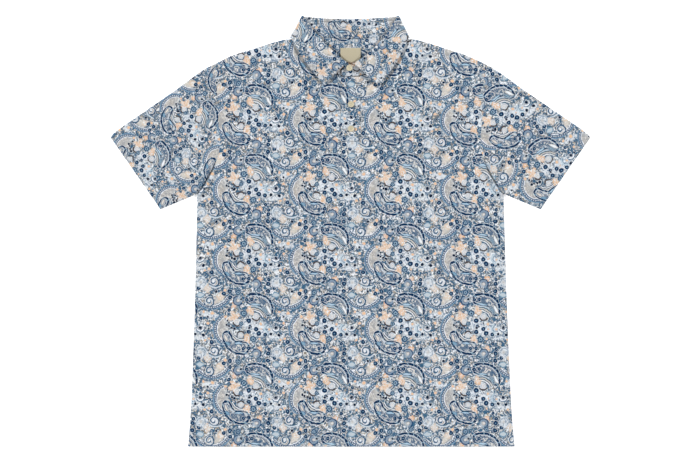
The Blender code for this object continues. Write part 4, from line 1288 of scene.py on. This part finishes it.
    def borders(self):
        """Two big banded borders with cream hearts, two spirals, and stripes along the paisleys' tails."""
        self.lens(130, 610, 260, 130, 84, [(0.3, (210, 202, 192), 0.62), (0.8, (226, 224, 220), 0.7),
                                           (1.0, (214, 206, 196), 0.0)])
        self.band(290, 600, 254, 178, 62)
        self.lens(1310, 110, 160, 90, 50, [(0.3, (228, 220, 208), 0.8), (1.0, (230, 224, 216), 0.0)])
        self.band(1200, -50, 306, 276, 56)
        self.curl(1155, 150, 88, 1.55, (226, 230, 233), (44, 80, 109))
        self.curl(1228, 945, 92, 1.55, (232, 234, 236), (40, 60, 82))
        for x, y, middle in ((640, 470, 62), (480, 590, 242)):
            _, out, inside = self.strip(x, y, 205, middle, 42)
            self.lay(out * (1 / 13.0) + 0.5, [
                (0.05, SLATE, 0.0), (0.08, SLATE), (0.14, SLATE), (0.18, LIGHT), (0.30, (226, 224, 218)),
                (0.33, (60, 92, 121)), (0.39, (60, 92, 121)), (0.43, SAND), (0.58, (216, 214, 210)),
                (0.62, (52, 66, 83)), (0.69, (52, 66, 83)), (0.73, SKY), (0.84, PALE),
                (0.92, PALE, 0.0)], inside)

    def flowers(self):
        """Peach flowers, then white buds, each with a brown arc."""
        for x, y, radii, inner, outer in (
                (345, 400, [70, 95, 50, 85, 100, 50, 80, 105, 55, 90, 75, 50], (238, 206, 176), PEACH),
                (610, 315, [50, 40, 55, 90, 60, 55, 45, 50, 60, 50], (238, 200, 164), PEACH),
                (545, 745, [45, 50, 60, 55, 40, 45, 50, 85, 90, 60], (238, 198, 158), PEACH),
                (350, 215, [35, 45, 40, 35, 50, 40], ORANGE, PEACH),
                (755, 910, [35, 45, 40, 50, 35, 40], ORANGE, PEACH),
                (130, 60, [50, 60, 45, 70, 55, 60], (226, 210, 192), (232, 206, 180)),
                (1120, 1060, [60, 45, 70, 50, 60, 40, 65, 50], (224, 212, 200), (232, 208, 184))):
            self.star(x, y, radii, inner, outer)
        for x, y, radius, turn in ((695, 390, 58, 270), (450, 690, 50, 90), (395, 480, 56, 250)):
            self.dots([(x, y, radius)], [
                (0.0, (190, 188, 190)), (0.16, (228, 226, 224)), (0.42, (230, 230, 230), 0.85),
                (0.48, (140, 158, 174), 0.9), (0.54, (234, 236, 238)), (0.8, LIGHT, 0.0)])
            self.stroke(x, y, radius + 8, turn, 66, 11, BROWN)

    def paisleys(self):
        """The two dark paisleys, the leaves inside them and the crescents at their heads."""
        self.paisley(800, 190, bent_drop([(610, 120), (885, 105), (898, 320)], (92, 108, 68)), -130.0, 46.0)
        self.lens(895, 285, 100, 34, -62, [
            (0.0, (246, 247, 248)), (0.5, (240, 242, 244)), (0.6, (190, 186, 178)), (0.8, (200, 196, 188)),
            (0.9, STEEL), (1.0, STEEL, 0.0)])
        self.lens(838, 298, 92, 36, -57, [
            (0.0, SKY), (0.22, SKY), (0.30, (40, 76, 108)), (0.44, (40, 76, 108)), (0.50, PALE),
            (0.64, PALE), (0.72, SLATE), (0.86, SLATE), (0.94, PALE), (1.02, PALE, 0.0)])
        self.lens(680, 202, 100, 22, -5, [(0.0, (196, 216, 228)), (0.6, (172, 200, 218)), (0.74, STEEL),
                                          (1.0, (50, 84, 115)), (1.1, STEEL, 0.0)])
        self.paisley(260, 845, bent_drop([(490, 895), (265, 910), (225, 690)], (108, 88, 70)), 36.0, 40.0)
        self.lens(215, 738, 88, 40, 112, [
            (0.0, (236, 230, 222)), (0.45, (214, 204, 192)), (0.55, (60, 94, 125)), (0.68, (60, 94, 125)),
            (0.76, LIGHT), (1.0, PALE, 0.0)])
        self.lens(240, 826, 50, 26, -40, [
            (0.0, SKY), (0.7, (120, 160, 188)), (0.9, STEEL), (1.0, STEEL, 0.0)])
        self.lens(413, 820, 88, 22, -3, [(0.0, (192, 214, 228)), (0.6, (168, 198, 217)), (0.74, STEEL),
                                         (1.0, (50, 84, 115)), (1.1, STEEL, 0.0)])
        for x, y, middle in ((408, 140, 215), (700, 985, 35)):
            self.dots([(x, y, 76)], [
                (0.0, LIGHT, 0.9), (0.2, (206, 198, 188), 0.9), (0.45, (176, 190, 202), 0.9),
                (0.8, (176, 190, 202), 0.0)])
            self.stroke(x, y, 50, middle, 125, 11, (136, 158, 178))
            self.stroke(x, y, 72, middle, 120, 9, (40, 78, 116))
            self.stroke(x, y, 32, middle, 100, 4, RIM)

    def small_motifs(self):
        """Berries, rosettes, ink and peach dots, then the pale crescents, white flower and leaf."""
        self.dots([(578, 460, 42), (598, 548, 28), (580, 640, 38), (695, 595, 38), (738, 665, 42),
                   (838, 685, 34), (262, 292, 32), (1012, 575, 34), (845, 830, 30), (900, 915, 32),
                   (890, 985, 38), (885, 1100, 38), (1195, 800, 38), (275, 1100, 36), (490, 905, 30),
                   (578, 900, 34), (628, 120, 32), (548, 126, 32), (280, 88, 36), (180, 30, 36),
                   (1020, 420, 28), (985, 1055, 34), (275, 5, 30)],
                  [(0.0, (164, 190, 206)), (0.12, (120, 152, 176)), (0.24, (52, 90, 123)),
                   (0.34, (24, 58, 92)), (0.66, (22, 54, 87)), (0.74, (60, 96, 126)),
                   (0.79, LIGHT, 0.8), (0.90, LIGHT, 0.0)])
        for x, y, radius, petals in ((500, 345, 54, 7.0), (650, 755, 54, 8.0), (410, 1115, 50, 7.0),
                                     (410, 12, 46, 6.0), (455, 508, 38, 5.0), (745, 1085, 40, 6.0)):
            self.rosette(x, y, radius, petals)
        self.dots([(455, 120, 22), (1060, 690, 28), (930, 675, 26), (1010, 572, 26), (350, 585, 26),
                   (310, 570, 20), (240, 455, 16), (265, 490, 16), (225, 530, 22), (260, 545, 18),
                   (1130, 400, 18), (1085, 580, 16), (60, 1105, 24), (585, 575, 20), (620, 560, 14),
                   (700, 500, 12), (1150, 590, 14), (965, 585, 12)],
                  [(0.0, (16, 34, 55)), (0.66, (20, 44, 71)), (0.80, LIGHT, 0.6), (0.9, LIGHT, 0.0)])
        self.dots([(770, 515, 28), (775, 592, 16), (1085, 770, 24), (1065, 320, 26), (1205, 342, 34),
                   (1135, 500, 28), (205, 395, 28), (905, 600, 22), (200, 1085, 30), (1150, 745, 24),
                   (0, 345, 24), (750, 750, 20)],
                  [(0.0, (244, 196, 150)), (0.4, (240, 204, 170)), (0.64, (236, 214, 194)),
                   (0.72, (120, 144, 162), 0.7), (0.82, (120, 144, 162), 0.0)])
        for row in ((905, 585, 78, 190, 75, 8, (186, 208, 220), 0.9),
                     (905, 585, 56, 190, 80, 7, BLUE, 0.8), (1010, 575, 50, 270, 80, 8, LIGHT),
                     (1010, 575, 66, 270, 70, 7, STEEL, 0.9),
                     (1030, 965, 78, 90, 170, 8, (214, 222, 230), 0.6),
                     (1030, 965, 64, 60, 120, 5, (110, 140, 164), 0.8)):
            self.stroke(*row)
        self.dots([(1020, 965, 50)], [
            (0.0, (176, 172, 168), 0.8), (0.3, (214, 210, 206), 0.7), (0.8, PALE, 0.0)])
        self.lens(1010, 50, 70, 50, 0, [
            (0.0, (206, 210, 212)), (0.6, PALE), (0.8, BLUE), (1.0, SKY), (1.1, SKY, 0.0)])
        self.stroke(1260, 880, 160, 268, 42, 12, (216, 224, 230), 0.9)
        self.stroke(1260, 860, 160, 268, 42, 8, STEEL, 0.9)


# ---------------------------------------------------------------- materials
TINT = (0.99, 1.01, 1.04)
PRINT_GAMMA, PRINT_GAIN = 1.05, 1.062
EXPOSURE = 1.18        # how much brighter the light shows a colour than its own value
STITCH_ROWS = 5.0      # between the two rows of stitches along an edge
KNIT_PITCH, WEAVE_PITCH = 0.9, 0.55


def new_material(name):
    material = bpy.data.materials.new(name)
    material.use_nodes = True
    material.node_tree.nodes.clear()
    return Graph(material.node_tree)


def surface(graph, colour, roughness, specular, sheen=0.0, bump=None, bump_height=0.0):
    """Principled surface; bump goes from 0 to 1, and bump_height is its size in metres."""
    shader = graph.node("ShaderNodeBsdfPrincipled", {
        "Base Color": colour, "Roughness": roughness, "Specular IOR Level": specular, "Sheen Weight": sheen})
    if bump is not None:
        node = graph.node("ShaderNodeBump", {"Strength": 1.0, "Distance": bump_height, "Height": bump})
        graph.put(shader.inputs["Normal"], node.outputs[0])
    graph.node("ShaderNodeOutputMaterial", [shader.outputs[0]])


def knit_height(graph, flat):
    """Fine columns and rows of knitted loops, from 0 to 1."""
    x, y, _ = graph.split(flat)
    columns = graph.math("SINE", x * (math.tau / KNIT_PITCH))
    rows = graph.math("SINE", y * (math.tau / KNIT_PITCH / 1.3) + abs(columns) * 1.2)
    return columns * rows * 0.5 + 0.5


def stitch_line(graph, along, out, pitch=3.0, half=0.22):
    """1 on the threads of a row of stitches, 0 beside them."""
    dash = graph.step(graph.math("SINE", along * (math.tau / pitch)), -0.75, -0.5)
    return dash * graph.step(abs(out), half + 0.08, half - 0.08)


def make_printed_cloth():
    graph = new_material("printed_cloth")
    flat = graph.cloth("cloth")
    colour = Print(graph, flat).build()
    along, out, _ = graph.split(graph.cloth("stitch"))
    stitches = graph.math("MAXIMUM", stitch_line(graph, along, out),
                          stitch_line(graph, along, out + STITCH_ROWS))
    colour = graph.mix(stitches * 0.45, colour, (176, 190, 204))
    contrast = graph.node("ShaderNodeGamma", {"Color": colour, "Gamma": PRINT_GAMMA})
    colour = graph.vector("MULTIPLY", contrast.outputs[0], tuple(PRINT_GAIN * c / EXPOSURE for c in TINT))
    height = knit_height(graph, flat) * 0.5 + stitches * 0.5
    surface(graph, colour, 0.85, specular=0.15, sheen=0.05, bump=height, bump_height=0.00012)


def make_plain(name, rgb, roughness, specular):
    surface(new_material(name), tuple(c / EXPOSURE for c in linear(rgb)[:3]) + (1.0,), roughness, specular)


def make_label_weave():
    graph = new_material("label_weave")
    x, y, _ = graph.split(graph.cloth("cloth"))
    threads = math.tau / WEAVE_PITCH
    weave = graph.math("SINE", x * threads) * graph.math("SINE", y * threads)
    along, out, _ = graph.split(graph.cloth("stitch"))
    stitches = stitch_line(graph, along, out, 2.4, 0.2)
    colour = graph.mix(weave * 0.5 + 0.5, (196, 186, 158), (208, 198, 172))
    colour = graph.mix(stitches * 0.7, colour, (216, 206, 180))
    colour = graph.vector("SCALE", colour, scale=1 / EXPOSURE)
    surface(graph, colour, 0.7, specular=0.25, bump=weave * 0.3 + stitches * 0.7, bump_height=0.00015)


# ---------------------------------------------------------------- surface, light and camera
FLOOR_HALF = 20000.0
WORLD_LIGHT, SOFTNESS = 0.12, 6.0     # softness in degrees


def build_floor():
    mesh = bpy.data.meshes.new("surface")
    corners = [(-1, -1, 0), (1, -1, 0), (1, 1, 0), (-1, 1, 0)]
    mesh.from_pydata([tuple(c * FLOOR_HALF * MM for c in corner) for corner in corners], [], [(0, 1, 2, 3)])
    obj = bpy.data.objects.new("surface", mesh)
    bpy.context.scene.collection.objects.link(obj)
    graph = new_material("white_surface")
    shader = graph.node("ShaderNodeBsdfPrincipled", {
        "Base Color": (0.9, 0.9, 0.9, 1.0), "Roughness": 0.9, "Specular IOR Level": 0.0,
        "Emission Color": (1.0, 1.0, 1.0, 1.0), "Emission Strength": 0.6})
    graph.node("ShaderNodeOutputMaterial", [shader.outputs[0]])
    mesh.materials.append(bpy.data.materials["white_surface"])


SOFT_BOXES = [
    # name, strength, direction it shines from
    ("left_box", 2.80, (-0.95, 0.30, 0.72)),
    ("right_box", 2.34, (0.95, 0.24, 0.72)),
]


def build_light():
    world = bpy.data.worlds.new("white")
    world.use_nodes = True
    world.node_tree.nodes["Background"].inputs["Color"].default_value = (1.0, 1.0, 1.0, 1.0)
    world.node_tree.nodes["Background"].inputs["Strength"].default_value = WORLD_LIGHT
    bpy.context.scene.world = world
    for name, energy, towards in SOFT_BOXES:
        lamp = bpy.data.lights.new(name, "SUN")
        lamp.energy = energy
        lamp.angle = math.radians(SOFTNESS)
        obj = bpy.data.objects.new(name, lamp)
        obj.rotation_euler = Vector(towards).to_track_quat("Z", "Y").to_euler()
        bpy.context.scene.collection.objects.link(obj)


def build_camera():
    camera = bpy.data.cameras.new("camera")
    camera.lens = 85.0
    camera.sensor_width = 36.0
    obj = bpy.data.objects.new("camera", camera)
    obj.location = (-0.0009, -0.0046, 3.02)
    bpy.context.scene.collection.objects.link(obj)
    bpy.context.scene.camera = obj


# ---------------------------------------------------------------- build
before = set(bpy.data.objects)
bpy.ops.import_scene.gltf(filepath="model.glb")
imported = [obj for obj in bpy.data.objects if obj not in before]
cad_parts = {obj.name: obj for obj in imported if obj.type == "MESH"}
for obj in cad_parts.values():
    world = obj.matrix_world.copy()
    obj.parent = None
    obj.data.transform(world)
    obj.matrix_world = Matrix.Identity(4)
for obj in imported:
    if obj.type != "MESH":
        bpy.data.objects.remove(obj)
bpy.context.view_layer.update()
bpy.context.scene.view_settings.view_transform = "Standard"
make_printed_cloth()
make_plain("button_horn", (226, 216, 186), 0.35, 0.5)
make_plain("thread_cream", (206, 196, 168), 0.8, 0.2)
make_label_weave()
build_floor()
build_light()
build_camera()

build_front()
build_back()
build_plackets()
build_sleeve("sleeve_right", -1)
build_sleeve("sleeve_left", 1)
sections = collar_sections()
build_leaf(sections)
build_stand(sections)
build_buttons(sections)
build_label()
